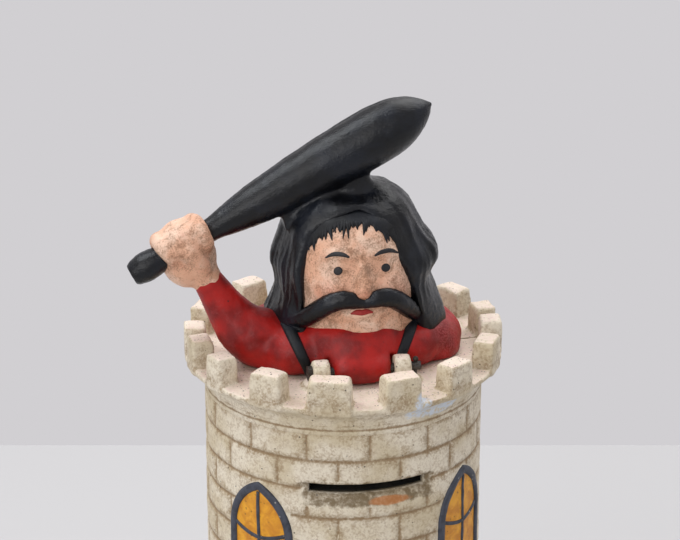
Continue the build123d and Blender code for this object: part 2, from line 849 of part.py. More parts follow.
def figure_front():
    body = shell_half(True)
    body -= hinge_notches()
    body += hinge_barrel()
    body += raised_arm()
    half = barrel_half_length + lap
    body -= along_x(pin_radius + pin_running_clearance, -half, half, pivot_y, pivot_z)
    for x, height, _ in figure_screw_places:
        z = figure_base_z + height
        tip = figure_seam_y - figure_screw_reach
        body -= along_y(figure_screw_radius + thread_gap, tip, bust_half_depth, x, z)
    for z in lever_rivet_levels:
        body -= along_y(lever_rivet_radius + thread_gap, lever_front_y - lever_rivet_reach,
                        lever_front_y + lap, 0, z)
    return body


def figure_back():
    body = shell_half(False)
    body -= club() + web() + fist() + arm()
    far = 2 * bust_half_depth
    for x, height, seat in figure_screw_places:
        z = figure_base_z + height
        body -= along_y(figure_screw_radius + figure_screw_clearance, figure_seam_y - past, far, x, z)
        body -= along_y(figure_screw_head_radius + figure_screw_head_clearance, seat, far, x, z)
    return body


def figure_screws():
    """Round-headed screws from the back of the figure."""
    screws = []
    for x, height, seat in figure_screw_places:
        z = figure_base_z + height
        head_end = seat + figure_screw_head_height
        cap = along_y(figure_screw_head_radius, seat, head_end, x, z)
        cap = driver_slot_y(cap, head_end, x, z)
        shank = along_y(figure_screw_radius, figure_seam_y - figure_screw_reach + 1, seat + lap, x, z)
        screws.append(cap + shank)
    return Compound(children=[Part(s.wrapped) for s in screws])


# ---------------------------------------------------------------- lever

def coin_lever():
    """A flat bar that hangs from the figure behind the slot and ends in a wide paddle."""
    back_y = lever_front_y + lever_thickness
    bar = block(-lever_width / 2, lever_width / 2, lever_front_y, back_y, lever_bottom_z, lever_top_z)
    paddle = block(-paddle_width / 2, paddle_width / 2, lever_front_y, back_y, lever_bottom_z,
                   lever_bottom_z + paddle_height)
    bar += paddle
    for z in lever_rivet_levels:
        bar -= along_y(lever_rivet_radius + thread_gap, lever_front_y - past, back_y + past, 0, z)
    return bar


def lever_rivets():
    rivets = []
    back_y = lever_front_y + lever_thickness
    for z in lever_rivet_levels:
        cap = along_y(lever_rivet_head_radius, back_y, back_y + lever_rivet_head_height, 0, z)
        shank = along_y(lever_rivet_radius, lever_front_y - lever_rivet_reach + lap, back_y + lap, 0, z)
        rivets.append(cap + shank)
    return Compound(children=[Part(r.wrapped) for r in rivets])


def build_all():
    os.makedirs("parts", exist_ok=True)
    pieces = {
        "tower_front": tower_front(),
        "tower_back": tower_back(),
        "tie_screws": tie_screws(),
        "tie_washers": tie_washers(),
        "coin_shelf": coin_shelf(),
        "coin_shelf_screws": shelf_screws(),
        "base_plate": base_plate(),
        "base_plate_screws": plate_screws(),
        "coin_door": coin_door(),
        "door_pivot_screw": door_pivot_screw(),
        "door_pivot_washer": door_washer(),
        "door_pivot_nut": door_nut(),
        "door_lock_screw": door_lock_screw(),
        "pivot_pin": pivot_pin(),
        "pivot_split_pin": split_pin(),
        "figure_front": figure_front(),
        "figure_back": figure_back(),
        "figure_screws": figure_screws(),
        "coin_lever": coin_lever(),
        "lever_rivets": lever_rivets(),
    }
    for name, piece in pieces.items():
        export_step(piece, f"parts/{name}.step")
        print(name, len(piece.solids()), round(piece.volume, 1))


build_all()
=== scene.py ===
import math

import bmesh
import bpy
import numpy as np
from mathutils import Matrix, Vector, noise
from mathutils.bvhtree import BVHTree


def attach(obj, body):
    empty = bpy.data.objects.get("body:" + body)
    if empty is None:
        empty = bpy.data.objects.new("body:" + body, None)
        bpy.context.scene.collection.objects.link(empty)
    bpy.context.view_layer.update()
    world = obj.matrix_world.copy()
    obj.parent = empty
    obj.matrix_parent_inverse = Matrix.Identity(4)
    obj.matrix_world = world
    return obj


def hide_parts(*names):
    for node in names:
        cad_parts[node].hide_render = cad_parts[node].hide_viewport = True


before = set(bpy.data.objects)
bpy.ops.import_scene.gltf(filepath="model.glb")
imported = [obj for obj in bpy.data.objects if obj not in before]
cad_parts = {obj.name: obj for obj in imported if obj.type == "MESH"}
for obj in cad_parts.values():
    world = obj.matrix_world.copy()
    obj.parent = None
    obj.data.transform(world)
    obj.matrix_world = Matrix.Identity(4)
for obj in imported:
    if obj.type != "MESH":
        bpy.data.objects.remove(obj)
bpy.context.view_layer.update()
mm = 0.001

# every shape is a pair: points in millimetres, and faces as tuples of point numbers


def gather(shapes):
    points, faces, start = [], [], 0
    for shapePoints, shapeFaces in shapes:
        points.append(np.asarray(shapePoints, float))
        faces += [tuple(i + start for i in face) for face in shapeFaces]
        start += len(shapePoints)
    return np.vstack(points), faces


def bands(rows, sides, width=None):
    # four-sided faces between each row of points and the next; a row as wide as its sides closes on itself
    width = width or sides
    return [(k * width + j, k * width + (j + 1) % width, (k + 1) * width + (j + 1) % width,
             (k + 1) * width + j)
            for k in range(rows - 1) for j in range(sides)]


def closedSheet(wide, tall):
    # faces of two grids of points, the outer one first, and of the walls between their edges
    half, faces = wide * tall, []
    for k in range(tall - 1):
        for j in range(wide - 1):
            a = k * wide + j
            faces.append((a, a + 1, a + wide + 1, a + wide))
            faces.append((a + half, a + wide + half, a + wide + 1 + half, a + 1 + half))
    for k in range(tall - 1):
        for j in (0, wide - 1):
            a = k * wide + j
            faces.append((a, a + wide, a + wide + half, a + half))
    for j in range(wide - 1):
        for k in (0, tall - 1):
            a = k * wide + j
            faces.append((a, a + 1, a + 1 + half, a + half))
    return faces


def spline(rows, step):
    # smooth curve through the rows, the radius column carried along
    rows = np.asarray(rows, float)
    ends = np.vstack([2 * rows[0] - rows[1], rows, 2 * rows[-1] - rows[-2]])
    made = []
    for k in range(len(rows) - 1):
        a, b, c, d = ends[k:k + 4]
        count = max(2, int(math.ceil(np.linalg.norm((c - b)[:3]) / step)))
        for t in np.arange(count) / count:
            made.append(0.5 * (2 * b + (c - a) * t + (2 * a - 5 * b + 4 * c - d) * t ** 2
                               + (3 * b - a - 3 * c + d) * t ** 3))
    made.append(rows[-1])
    return np.array(made)


def tube(rows, sides=16, step=0.9):
    # round bar along a smooth line, with rounded ends
    line = spline(rows, step)
    centre, radius = line[:, :3], np.maximum(line[:, 3], 0.05)
    run = np.gradient(centre, axis=0)
    run /= np.linalg.norm(run, axis=1)[:, None]
    side = np.array((0.31, 0.17, 0.93))  # any direction the line never takes
    rings = []
    for k, along in enumerate(run):
        side = side - along * (side @ along)
        side /= np.linalg.norm(side)
        rings.append((centre[k], side, np.cross(along, side), radius[k], along))
    caps = [(0.35, 0.94), (0.71, 0.71), (0.94, 0.35)]
    first, last = rings[0], rings[-1]
    sections = [(first[0] - first[4] * first[3] * out, first, size) for size, out in caps]
    sections += [(ring[0], ring, 1.0) for ring in rings]
    sections += [(last[0] + last[4] * last[3] * out, last, size) for size, out in caps[::-1]]
    turn = np.arange(sides) / sides * 2 * math.pi
    points = [middle + ring[3] * size * (np.outer(np.cos(turn), ring[1]) + np.outer(np.sin(turn), ring[2]))
              for middle, ring, size in sections]
    points += [(first[0] - first[4] * first[3])[None], (last[0] + last[4] * last[3])[None]]
    count = len(sections)
    faces = bands(count, sides)
    for j in range(sides):
        n = (j + 1) % sides
        faces.append((count * sides, n, j))
        faces.append((count * sides + 1, (count - 1) * sides + j, (count - 1) * sides + n))
    return np.vstack(points), faces


def ball(centre, radii, sides=28, rows=16):
    points, faces = [], []
    for k in range(1, rows):
        polar = math.pi * k / rows
        for j in range(sides):
            turn = 2 * math.pi * j / sides
            points.append((math.sin(polar) * math.cos(turn), math.sin(polar) * math.sin(turn),
                           math.cos(polar)))
    points += [(0, 0, 1), (0, 0, -1)]
    top, bottom = len(points) - 2, len(points) - 1
    for j in range(sides):
        n = (j + 1) % sides
        faces.append((top, j, n))
        faces.append((bottom, (rows - 2) * sides + n, (rows - 2) * sides + j))
        for k in range(rows - 2):
            faces.append((k * sides + j, (k + 1) * sides + j, (k + 1) * sides + n, k * sides + n))
    return np.array(points) * np.array(radii) + np.array(centre), faces


def turned(centre, profile, sides=72, start=0.0, sweep=360.0):
    # profile rows are radius across, radius deep, height; a part turn is closed by its two cut faces
    whole = sweep >= 360
    count = sides if whole else sides + 1
    points = []
    for across, deep, height in profile:
        for j in range(count):
            turn = math.radians(start + sweep * j / sides)
            points.append((centre[0] + across * math.sin(turn), centre[1] - deep * math.cos(turn), height))
    rows = len(profile)
    faces = bands(rows, sides, count)
    for row, flip in ((0, True), (rows - 1, False)):
        hub = len(points)
        points.append((centre[0], centre[1], profile[row][2]))
        for j in range(sides):
            n = (j + 1) % count
            face = (hub, row * count + j, row * count + n)
            faces.append(face[::-1] if flip else face)
    if not whole:
        first, last = len(points) - 2, len(points) - 1
        axis = [first] + [None] * (rows - 2) + [last]
        for k in range(1, rows - 1):
            axis[k] = len(points)
            points.append((centre[0], centre[1], profile[k][2]))
        for k in range(rows - 1):
            faces.append((axis[k], k * count, (k + 1) * count, axis[k + 1]))
            faces.append((axis[k], axis[k + 1], (k + 1) * count + count - 1, k * count + count - 1))
    return np.array(points, float), faces


def prism(outline, axis, low, high):
    # a flat outline in the two other axes, pushed along one
    others = [k for k in range(3) if k != axis]
    points = np.zeros((2 * len(outline), 3))
    count = len(outline)
    for k, (a, b) in enumerate(outline):
        for layer, level in enumerate((low, high)):
            points[layer * count + k, others[0]] = a
            points[layer * count + k, others[1]] = b
            points[layer * count + k, axis] = level
    faces = [tuple(range(count))[::-1], tuple(range(count, 2 * count))]
    faces += [(k, (k + 1) % count, (k + 1) % count + count, k + count) for k in range(count)]
    return points, faces


def addObject(name, data):
    obj = bpy.data.objects.new(name, data)
    bpy.context.scene.collection.objects.link(obj)
    return obj


def piece(name, shape):
    points, faces = shape
    mesh = bpy.data.meshes.new(name)
    mesh.from_pydata((np.asarray(points) * mm).tolist(), [], faces)
    work = bmesh.new()
    work.from_mesh(mesh)
    bmesh.ops.remove_doubles(work, verts=work.verts, dist=1e-7)
    bmesh.ops.recalc_face_normals(work, faces=work.faces)
    work.to_mesh(mesh)
    work.free()
    for polygon in mesh.polygons:
        polygon.use_smooth = True
    return addObject(name, mesh)


def freeze(obj):
    # what the modifiers make becomes the object's own plain mesh
    bpy.context.view_layer.update()
    view = bpy.context.evaluated_depsgraph_get()
    mesh = bpy.data.meshes.new_from_object(obj.evaluated_get(view))
    obj.modifiers.clear()
    obj.data = mesh
    return obj


def melt(obj, voxel):
    # overlapping closed shapes become one skin
    change = obj.modifiers.new("melt", "REMESH")
    change.mode = "VOXEL"
    change.voxel_size = voxel * mm
    change.use_smooth_shade = True
    return freeze(obj)


def cut(obj, tool):
    change = obj.modifiers.new("cut", "BOOLEAN")
    change.operation = "DIFFERENCE"
    change.solver = "EXACT"
    change.object = tool
    freeze(obj)
    bpy.data.objects.remove(tool)
    return obj


def readPoints(obj):
    points = np.empty(len(obj.data.vertices) * 3)
    obj.data.vertices.foreach_get("co", points)
    return points.reshape(-1, 3) / mm


def writePoints(obj, points):
    obj.data.vertices.foreach_set("co", (np.asarray(points) * mm).ravel())
    obj.data.update()


def readEdges(obj):
    edges = np.empty(len(obj.data.edges) * 2, dtype=np.int32)
    obj.data.edges.foreach_get("vertices", edges)
    return edges.reshape(-1, 2)


def readNormals(obj):
    normals = np.empty(len(obj.data.vertices) * 3)
    obj.data.vertex_normals.foreach_get("vector", normals)
    return normals.reshape(-1, 3)


def spread(values, edges, rounds):
    # each value drifts to the mean of its neighbours
    count = np.bincount(edges.ravel(), minlength=len(values)).astype(float)
    count[count == 0] = 1
    for _ in range(rounds):
        total = np.zeros_like(values)
        np.add.at(total, edges[:, 0], values[edges[:, 1]])
        np.add.at(total, edges[:, 1], values[edges[:, 0]])
        mean = total / (count[:, None] if values.ndim > 1 else count)
        values = values + 0.5 * (mean - values)
    return values


def relax(obj, rounds):
    writePoints(obj, spread(readPoints(obj), readEdges(obj), rounds))


def grain(points, size, seed):
    # seeded lumps, one number for each point
    shift = Vector((seed * 17.3, seed * 5.1, seed * 11.9))
    return np.array([noise.noise(Vector(p) / size + shift) for p in points])


def roughen(obj, amount, size, seed):
    points = readPoints(obj)
    normals = readNormals(obj)
    writePoints(obj, points + normals * (amount * grain(points, size, seed))[:, None])


def pushed(points, centre, reach, way):
    # a soft lump or hollow around one place
    gap = (points - np.array(centre)) / np.array(reach)
    weight = np.exp(-(gap ** 2).sum(1))
    return points + weight[:, None] * np.array(way)


def addValue(obj, name, values):
    layer = obj.data.attributes.get(name) or obj.data.attributes.new(name, "FLOAT", "POINT")
    layer.data.foreach_set("value", np.asarray(values, np.float32))


def markRelief(obj, width, gain):
    # hollow and edge say how far a point lies under or over its softened surroundings
    points, edges = readPoints(obj), readEdges(obj)
    soft = spread(points, edges, width)
    lift = ((soft - points) * readNormals(obj)).sum(1) * gain
    lift = spread(lift, edges, 2)
    addValue(obj, "hollow", np.clip(lift, 0, 1))
    addValue(obj, "edge", np.clip(-lift, 0, 1))
    addValue(obj, "up", np.clip(readNormals(obj)[:, 2], 0, 1))


class Wire:
    # one shader output, so that sums and products are written as plain expressions
    def __init__(self, paint, socket):
        self.paint = paint
        self.socket = socket

    def maths(self, operation, *values):
        return self.paint.node("ShaderNodeMath", {"operation": operation}, values)

    def __add__(self, other):
        return self.maths("ADD", self, other)

    def __radd__(self, other):
        return self.maths("ADD", other, self)

    def __sub__(self, other):
        return self.maths("SUBTRACT", self, other)

    def __rsub__(self, other):
        return self.maths("SUBTRACT", other, self)

    def __mul__(self, other):
        return self.maths("MULTIPLY", self, other)

    def __rmul__(self, other):
        return self.maths("MULTIPLY", other, self)

    def clamp(self):
        return self.maths("MINIMUM", self.maths("MAXIMUM", self, 0.0), 1.0)


class Paint:
    def __init__(self, name):
        self.material = bpy.data.materials.new(name)
        self.material.use_nodes = True
        self.tree = self.material.node_tree
        self.surface = self.tree.nodes["Principled BSDF"]
        place = self.node("ShaderNodeTexCoord", {}, (), "Object")
        self.place = self.node("ShaderNodeVectorMath", {"operation": "SCALE"},
                               {"Vector": place, "Scale": 1000.0})

    def node(self, kind, settings, inputs, output=0):
        made = self.tree.nodes.new(kind)
        for key, value in settings.items():
            setattr(made, key, value)
        for key, value in inputs.items() if isinstance(inputs, dict) else enumerate(inputs):
            if isinstance(value, Wire):
                self.tree.links.new(value.socket, made.inputs[key])
            else:
                made.inputs[key].default_value = value
        return Wire(self, made.outputs[output])

    def value(self, name):
        return self.node("ShaderNodeAttribute", {"attribute_name": name}, (), "Fac")

    def lumps(self, size, detail=3.0, rough=0.55, warp=0.0):
        return self.node("ShaderNodeTexNoise", {}, {"Vector": self.place, "Scale": 1 / size, "Detail": detail,
                                                    "Roughness": rough, "Distortion": warp})

    def specks(self, size, share, low=0.12, high=0.3):
        # sparse round dots, one in each chosen cell
        inputs = {"Vector": self.place, "Scale": 1 / size}
        gap = self.node("ShaderNodeTexVoronoi", {}, inputs, "Distance")
        cellColour = self.node("ShaderNodeTexVoronoi", {}, inputs, "Color")
        pick = self.node("ShaderNodeSeparateColor", {}, [cellColour])
        return (1 - self.step(gap, low, high)) * self.step(pick, 1 - share, 1 - share + 0.02)

    def step(self, value, low, high):
        return self.node("ShaderNodeMapRange", {"interpolation_type": "SMOOTHSTEP"},
                         {"Value": value, "From Min": low, "From Max": high})

    def spot(self, centre, reach, ragged=0.35, size=3.0):
        # a ragged patch around one place
        shifted = self.node("ShaderNodeVectorMath", {"operation": "SUBTRACT"}, [self.place, centre])
        scaled = self.node("ShaderNodeVectorMath", {"operation": "DIVIDE"}, [shifted, reach])
        far = self.node("ShaderNodeVectorMath", {"operation": "LENGTH"}, [scaled], "Value")
        return 1 - self.step(far + ragged * 2 * (self.lumps(size, 4.0) - 0.5), 0.7, 1.05)

    def blend(self, share, first, second):
        return self.node("ShaderNodeMix", {"data_type": "RGBA"}, {0: share, 6: first, 7: second}, 2)

    def finish(self, colour, roughness, height=None, depth=0.1, metallic=0.0, specular=0.5):
        tree, surface = self.tree, self.surface
        for socket, value in (("Base Color", colour), ("Roughness", roughness), ("Metallic", metallic)):
            if isinstance(value, Wire):
                tree.links.new(value.socket, surface.inputs[socket])
            else:
                surface.inputs[socket].default_value = value
        surface.inputs["Specular IOR Level"].default_value = specular
        if height is not None:
            inputs = {"Strength": 1.0, "Distance": depth * mm, "Height": height}
            relief = self.node("ShaderNodeBump", {}, inputs, "Normal")
            tree.links.new(relief.socket, surface.inputs["Normal"])
        return self.material


def tint(red, green, blue):
    # screen colour, 0 to 255, as the shader wants it
    made = []
    for part in (red, green, blue):
        part /= 255
        made.append(part / 12.92 if part <= 0.04045 else ((part + 0.055) / 1.055) ** 2.4)
    return (*made, 1.0)


towerColours = {
    "cream": tint(224, 214, 194), "shade": tint(202, 188, 159), "washAndShade": tint(142, 118, 86),
    "stipple": tint(158, 134, 104), "deep": tint(98, 76, 52), "sill": tint(230, 212, 197),
    "blush": tint(228, 204, 194), "touchUp": tint(206, 216, 228), "rust": tint(186, 118, 62),
    "speck": tint(44, 34, 28),
    "olive": tint(104, 86, 56),
}


def makeTowerPaint(name):
    c = towerColours
    paint = Paint(name)
    coarse, medium, fine = paint.lumps(14, 3), paint.lumps(3.2, 4), paint.lumps(0.62, 3, 0.65)
    dust = paint.lumps(1.3, 4, 0.7)
    hollow, edge = paint.value("hollow"), paint.value("edge")
    up, groove = paint.value("up"), paint.value("groove")
    near, recess = paint.value("near"), paint.value("recess")
    colour = paint.blend(paint.step(coarse, 0.38, 0.66), c["cream"], c["shade"])
    stipple = paint.step(fine * 0.7 + dust * 0.5, 0.54, 0.70) * (0.35 + 0.65 * paint.step(medium, 0.32, 0.62))
    colour = paint.blend(stipple * 0.52, colour, c["stipple"])
    # painted shade read from near: the merlons' sides and feet and the wall under the flare go brown, with
    # some brown about the joints
    soft = paint.step(near + (medium - 0.5) * 1.1 + (dust - 0.5) * 1.0, 0.20, 0.95)
    soft = soft * paint.step(fine, 0.22, 0.55)
    colour = paint.blend(soft * 0.66, colour, c["washAndShade"])
    # brown in the grooves as dark joints, and in the hollows as dirt and painted shade
    washAndShade = paint.step(hollow * 1.3 + groove * 0.95 + (medium - 0.5) * 0.9 + (fine - 0.5) * 0.5, 0.30, 0.95)
    colour = paint.blend(washAndShade * 0.88, colour, c["washAndShade"])
    # painted shade in and around the slot's recess, in dark olive-brown
    under = paint.step(recess + (dust - 0.5) * 1.5 + (medium - 0.5) * 1.4, 0.42, 1.2)
    colour = paint.blend(under * 0.85, colour, c["olive"])
    colour = paint.blend(paint.step(groove + (fine - 0.5) * 1.2, 0.85, 1.35) * 0.45, colour, c["deep"])
    colour = paint.blend((paint.step(edge + (fine - 0.5) * 0.4, 0.35, 0.8) * 0.6), colour, c["cream"])
    height = paint.node("ShaderNodeSeparateXYZ", {}, [paint.place], "Z")
    # upward faces of the crown paler and pinker: partly the deck's own paint, partly painted light on the
    # tops
    sill = paint.step(up, 0.75, 0.95) * paint.step(height, 157.0, 159.0)
    sill = sill * (1 - paint.step(hollow, 0.2, 0.7)) * paint.step(dust, 0.34, 0.5)
    sillColour = paint.blend(paint.step(medium, 0.46, 0.70), c["sill"], c["blush"])
    colour = paint.blend(sill * 0.8, colour, sillColour)
    colour = paint.blend(sill * paint.specks(1.1, 0.35, 0.15, 0.3) * 0.6, colour, c["blush"])
    patch = paint.spot((20.5, -36.8, 156.4), (11.5, 9.0, 2.8), 0.5, 4.0)
    patch = patch + paint.spot((13.4, -40.6, 160.4), (2.8, 4.0, 4.6), 0.4, 3.0)
    colour = paint.blend(patch.clamp() * paint.step(dust, 0.36, 0.54) * 0.85, colour, c["touchUp"])
    stain = paint.spot((5.6, -37.2, 131.7), (6.8, 3.0, 1.3), 0.3, 2.0)
    colour = paint.blend(stain * 0.75, colour, c["rust"])
    specks = paint.specks(1.5, 0.12, 0.10, 0.2) + sill * paint.specks(0.9, 0.5, 0.12, 0.28)
    colour = paint.blend(specks.clamp() * 0.85, colour, c["speck"])
    relief = fine * 0.5 + paint.lumps(0.25, 2) * 0.25 + medium * 0.5 + dust * 0.3
    return paint.finish(colour, 0.5 + 0.25 * medium, relief, 0.36, specular=0.35)


shirtColours = {"red": tint(166, 22, 16), "dark": tint(112, 15, 13), "worn": tint(186, 92, 92),
                "grimeAndShade": tint(58, 20, 20)}


def makeShirtPaint(name):
    c = shirtColours
    paint = Paint(name)
    broad, medium, fine = paint.lumps(9, 3), paint.lumps(2.0, 4, 0.65), paint.lumps(0.5, 3, 0.6)
    hollow, edge = paint.value("hollow"), paint.value("edge")
    colour = paint.blend(paint.step(broad, 0.35, 0.68), c["red"], c["dark"])
    worn = paint.step(medium + edge * 0.55 + (broad - 0.5) * 0.5, 0.56, 0.82) * paint.step(fine, 0.35, 0.6)
    colour = paint.blend(worn * 0.14, colour, c["worn"])
    shoulder = paint.spot((28, -10, 168), (9, 12, 7), 0.5, 5.0) * paint.step(fine, 0.4, 0.62)
    colour = paint.blend(shoulder * 0.35, colour, c["worn"])
    # dark brownish red in the folds and hollows: partly dirt, partly painted shade
    grimeAndShade = paint.step(hollow + (medium - 0.5) * 1.1, 0.22, 0.8)
    colour = paint.blend(grimeAndShade * 0.8, colour, c["grimeAndShade"])
    colour = paint.blend(paint.specks(2.2, 0.2, 0.08, 0.2) * 0.8, colour, c["grimeAndShade"])
    return paint.finish(colour, 0.34 + 0.25 * medium, fine * 0.5 + medium * 0.6, 0.14, specular=0.32)


blackColours = {"black": tint(8, 9, 12), "blue": tint(20, 24, 32), "brown": tint(28, 20, 17),
                "dust": tint(92, 92, 96)}


def makeBlackEnamel(name, rough, depth, grainSize):
    c = blackColours
    paint = Paint(name)
    broad, medium, fine = paint.lumps(8, 3), paint.lumps(2.2, 3), paint.lumps(grainSize, 3, 0.6)
    hollow, edge = paint.value("hollow"), paint.value("edge")
    colour = paint.blend(paint.step(broad, 0.4, 0.7), c["black"], c["blue"])
    colour = paint.blend(paint.step(hollow + (medium - 0.5) * 0.6, 0.3, 0.9) * 0.5, colour, c["brown"])
    dust = paint.step(edge * 0.6 + fine * 0.6 + (medium - 0.5), 0.62, 0.9)
    colour = paint.blend(dust * 0.14, colour, c["dust"])
    return paint.finish(colour, rough + 0.16 * medium + 0.08 * fine, fine * 0.7 + medium * 0.5, depth,
                        specular=0.34)


fleshColours = {"flesh": tint(218, 168, 138), "pale": tint(230, 196, 172), "rose": tint(206, 138, 112),
                "grimeAndShade": tint(116, 80, 50)}


def makeFleshPaint(name):
    c = fleshColours
    paint = Paint(name)
    broad, medium, fine = paint.lumps(7, 3), paint.lumps(1.8, 4, 0.65), paint.lumps(0.45, 3, 0.6)
    hollow, edge, rosy = paint.value("hollow"), paint.value("edge"), paint.value("rosy")
    colour = paint.blend(paint.step(broad, 0.4, 0.66), c["flesh"], c["pale"])
    colour = paint.blend((rosy * 0.6 + paint.step(medium, 0.5, 0.75) * 0.35).clamp(), colour, c["rose"])
    film = paint.step(paint.lumps(5.5, 4, 0.65, 0.6) + (fine - 0.5) * 0.6, 0.40, 0.70)
    colour = paint.blend(film * 0.7, colour, c["grimeAndShade"])
    # brown in the hollows of the face and fist: partly dirt, partly painted shade
    grimeAndShade = paint.step(hollow * 1.5 + (medium - 0.5) * 1.1 + (fine - 0.5) * 0.5, 0.24, 0.9)
    colour = paint.blend(grimeAndShade * 0.75, colour, c["grimeAndShade"])
    colour = paint.blend(paint.step(edge + (fine - 0.5) * 0.5, 0.4, 0.9) * 0.4, colour, c["pale"])
    colour = paint.blend(paint.specks(1.6, 0.12, 0.08, 0.18) * 0.7, colour, c["grimeAndShade"])
    return paint.finish(colour, 0.42 + 0.2 * medium, fine * 0.5 + medium * 0.5, 0.2, specular=0.4)


def makePlainPaint(name, light, dark, speck, rough=0.4, size=3.0, share=0.15):
    # a brushed coat of one colour with streaks and chips
    paint = Paint(name)
    broad, fine = paint.lumps(size, 4, 0.6, 0.6), paint.lumps(0.4, 3, 0.6)
    colour = paint.blend(paint.step(broad, 0.36, 0.66), light, dark)
    colour = paint.blend(paint.specks(1.1, share, 0.12, 0.3) * 0.7, colour, speck)
    return paint.finish(colour, rough + 0.2 * broad, fine + broad * 0.6, 0.15, specular=0.45)


def makeMetal(name, light, dark, rough, metallic=1.0):
    paint = Paint(name)
    broad, fine = paint.lumps(1.4 * 3, 4), paint.lumps(1.4 * 0.3, 3, 0.65)
    colour = paint.blend(paint.step(broad + (fine - 0.5) * 0.5, 0.4, 0.68), light, dark)
    shine = metallic * (1 - 0.5 * paint.step(broad, 0.5, 0.75))
    return paint.finish(colour, rough + 0.25 * broad, fine + broad, 0.08, metallic=shine)


print("materials")
towerPaint = makeTowerPaint("towerPaint")
shirtPaint = makeShirtPaint("shirtPaint")
hairEnamel = makeBlackEnamel("hairEnamel", 0.1, 0.17, 0.42)
strapEnamel = makeBlackEnamel("strapEnamel", 0.4, 0.12, 0.5)
fleshPaint = makeFleshPaint("fleshPaint")
facePaint = makePlainPaint("faceLinePaint", tint(34, 32, 34), tint(22, 21, 24), tint(74, 68, 66), 0.4)
lipPaint = makePlainPaint("lipPaint", tint(168, 38, 32), tint(142, 28, 26), tint(196, 120, 104), 0.4)
amberPaint = makePlainPaint("amberPaint", tint(226, 160, 34), tint(196, 126, 24), tint(86, 54, 20), 0.36, 4.0,
                            0.26)
slatePaint = makePlainPaint("slatePaint", tint(62, 66, 78), tint(44, 47, 57), tint(170, 168, 160), 0.42, 2.5,
                            0.10)
doorPaint = makePlainPaint("doorPaint", tint(132, 84, 46), tint(96, 58, 32), tint(60, 36, 22), 0.5, 5.0)
blackIron = makeMetal("blackIron", tint(52, 52, 56), tint(34, 32, 32), 0.5, 0.5)
shelfSteel = makeMetal("shelfSteel", tint(146, 146, 144), tint(112, 104, 94), 0.38)
leverIron = makeMetal("leverIron", tint(96, 92, 88), tint(66, 52, 42), 0.48, 0.8)
screwSteel = makeMetal("screwSteel", tint(168, 166, 160), tint(120, 108, 92), 0.34)
pinSteel = makeMetal("pinSteel", tint(92, 90, 88), tint(58, 50, 44), 0.42)


class Grower:
    # builds one Geometry Nodes tree with named inputs
    def __init__(self, name):
        self.tree = bpy.data.node_groups.new(name, "GeometryNodeTree")
        self.tree.interface.new_socket("Geometry", in_out="INPUT", socket_type="NodeSocketGeometry")
        self.tree.interface.new_socket("Geometry", in_out="OUTPUT", socket_type="NodeSocketGeometry")
        self.named = {}
        self.entry = self.tree.nodes.new("NodeGroupInput")
        self.exit = self.tree.nodes.new("NodeGroupOutput")

    def knob(self, name, kind):
        made = self.tree.interface.new_socket(name, in_out="INPUT", socket_type=kind)
        self.named[name] = made.identifier
        return self.entry.outputs[name]

    def node(self, kind, settings, inputs, output=0):
        made = self.tree.nodes.new(kind)
        for key, value in settings.items():
            setattr(made, key, value)
        for key, value in inputs.items():
            if isinstance(value, bpy.types.NodeSocket):
                self.tree.links.new(value, made.inputs[key])
            else:
                made.inputs[key].default_value = value
        return made.outputs[output]

    def close(self, geometry, material):
        solid = self.node("GeometryNodeRealizeInstances", {}, {"Geometry": geometry})
        painted = self.node("GeometryNodeSetMaterial", {}, {"Geometry": solid, "Material": material})
        self.tree.links.new(painted, self.exit.inputs[0])

    def use(self, obj, values):
        change = obj.modifiers.new(self.tree.name, "NODES")
        change.node_group = self.tree
        for name, value in values.items():
            change[self.named[name]] = value
        return freeze(obj)


def makeRingTree():
    # sets a copy of one shape at every point, facing away from the tower's middle
    grow = Grower("aroundTheTower")
    shape = grow.knob("Shape", "NodeSocketObject")
    material = grow.knob("Material", "NodeSocketMaterial")
    width = grow.node("GeometryNodeInputNamedAttribute", {"data_type": "FLOAT"}, {"Name": "wide"})
    height = grow.node("GeometryNodeInputNamedAttribute", {"data_type": "FLOAT"}, {"Name": "tall"})
    place = grow.node("GeometryNodeInputPosition", {}, {})
    parts = grow.tree.nodes.new("ShaderNodeSeparateXYZ")
    grow.tree.links.new(place, parts.inputs[0])
    back = grow.node("ShaderNodeMath", {"operation": "MULTIPLY"}, {0: parts.outputs[1], 1: -1.0})
    angle = grow.node("ShaderNodeMath", {"operation": "ARCTAN2"}, {0: parts.outputs[0], 1: back})
    turn = grow.node("FunctionNodeEulerToRotation", {},
                     {0: grow.node("ShaderNodeCombineXYZ", {}, {2: angle})})
    size = grow.node("ShaderNodeCombineXYZ", {}, {0: width, 1: 1.0, 2: height})
    copy = grow.node("GeometryNodeObjectInfo", {}, {"Object": shape}, "Geometry")
    many = grow.node("GeometryNodeInstanceOnPoints", {}, {
        "Points": grow.entry.outputs["Geometry"], "Instance": copy, "Rotation": turn, "Scale": size})
    grow.close(many, material)
    return grow


def makeStrandTree():
    # turns edge lines into round strands, each as thick as its points say
    grow = Grower("strands")
    sides = grow.knob("Sides", "NodeSocketInt")
    material = grow.knob("Material", "NodeSocketMaterial")
    line = grow.node("GeometryNodeMeshToCurve", {}, {"Mesh": grow.entry.outputs["Geometry"]})
    thick = grow.node("GeometryNodeInputNamedAttribute", {"data_type": "FLOAT"}, {"Name": "thick"})
    section = grow.node("GeometryNodeCurvePrimitiveCircle", {"mode": "RADIUS"},
                        {"Resolution": sides, "Radius": mm})
    skin = grow.node("GeometryNodeCurveToMesh", {}, {"Curve": line, "Profile Curve": section, "Scale": thick,
                                                     "Fill Caps": True})
    grow.close(skin, material)
    return grow


ringTree = makeRingTree()
strandTree = makeStrandTree()


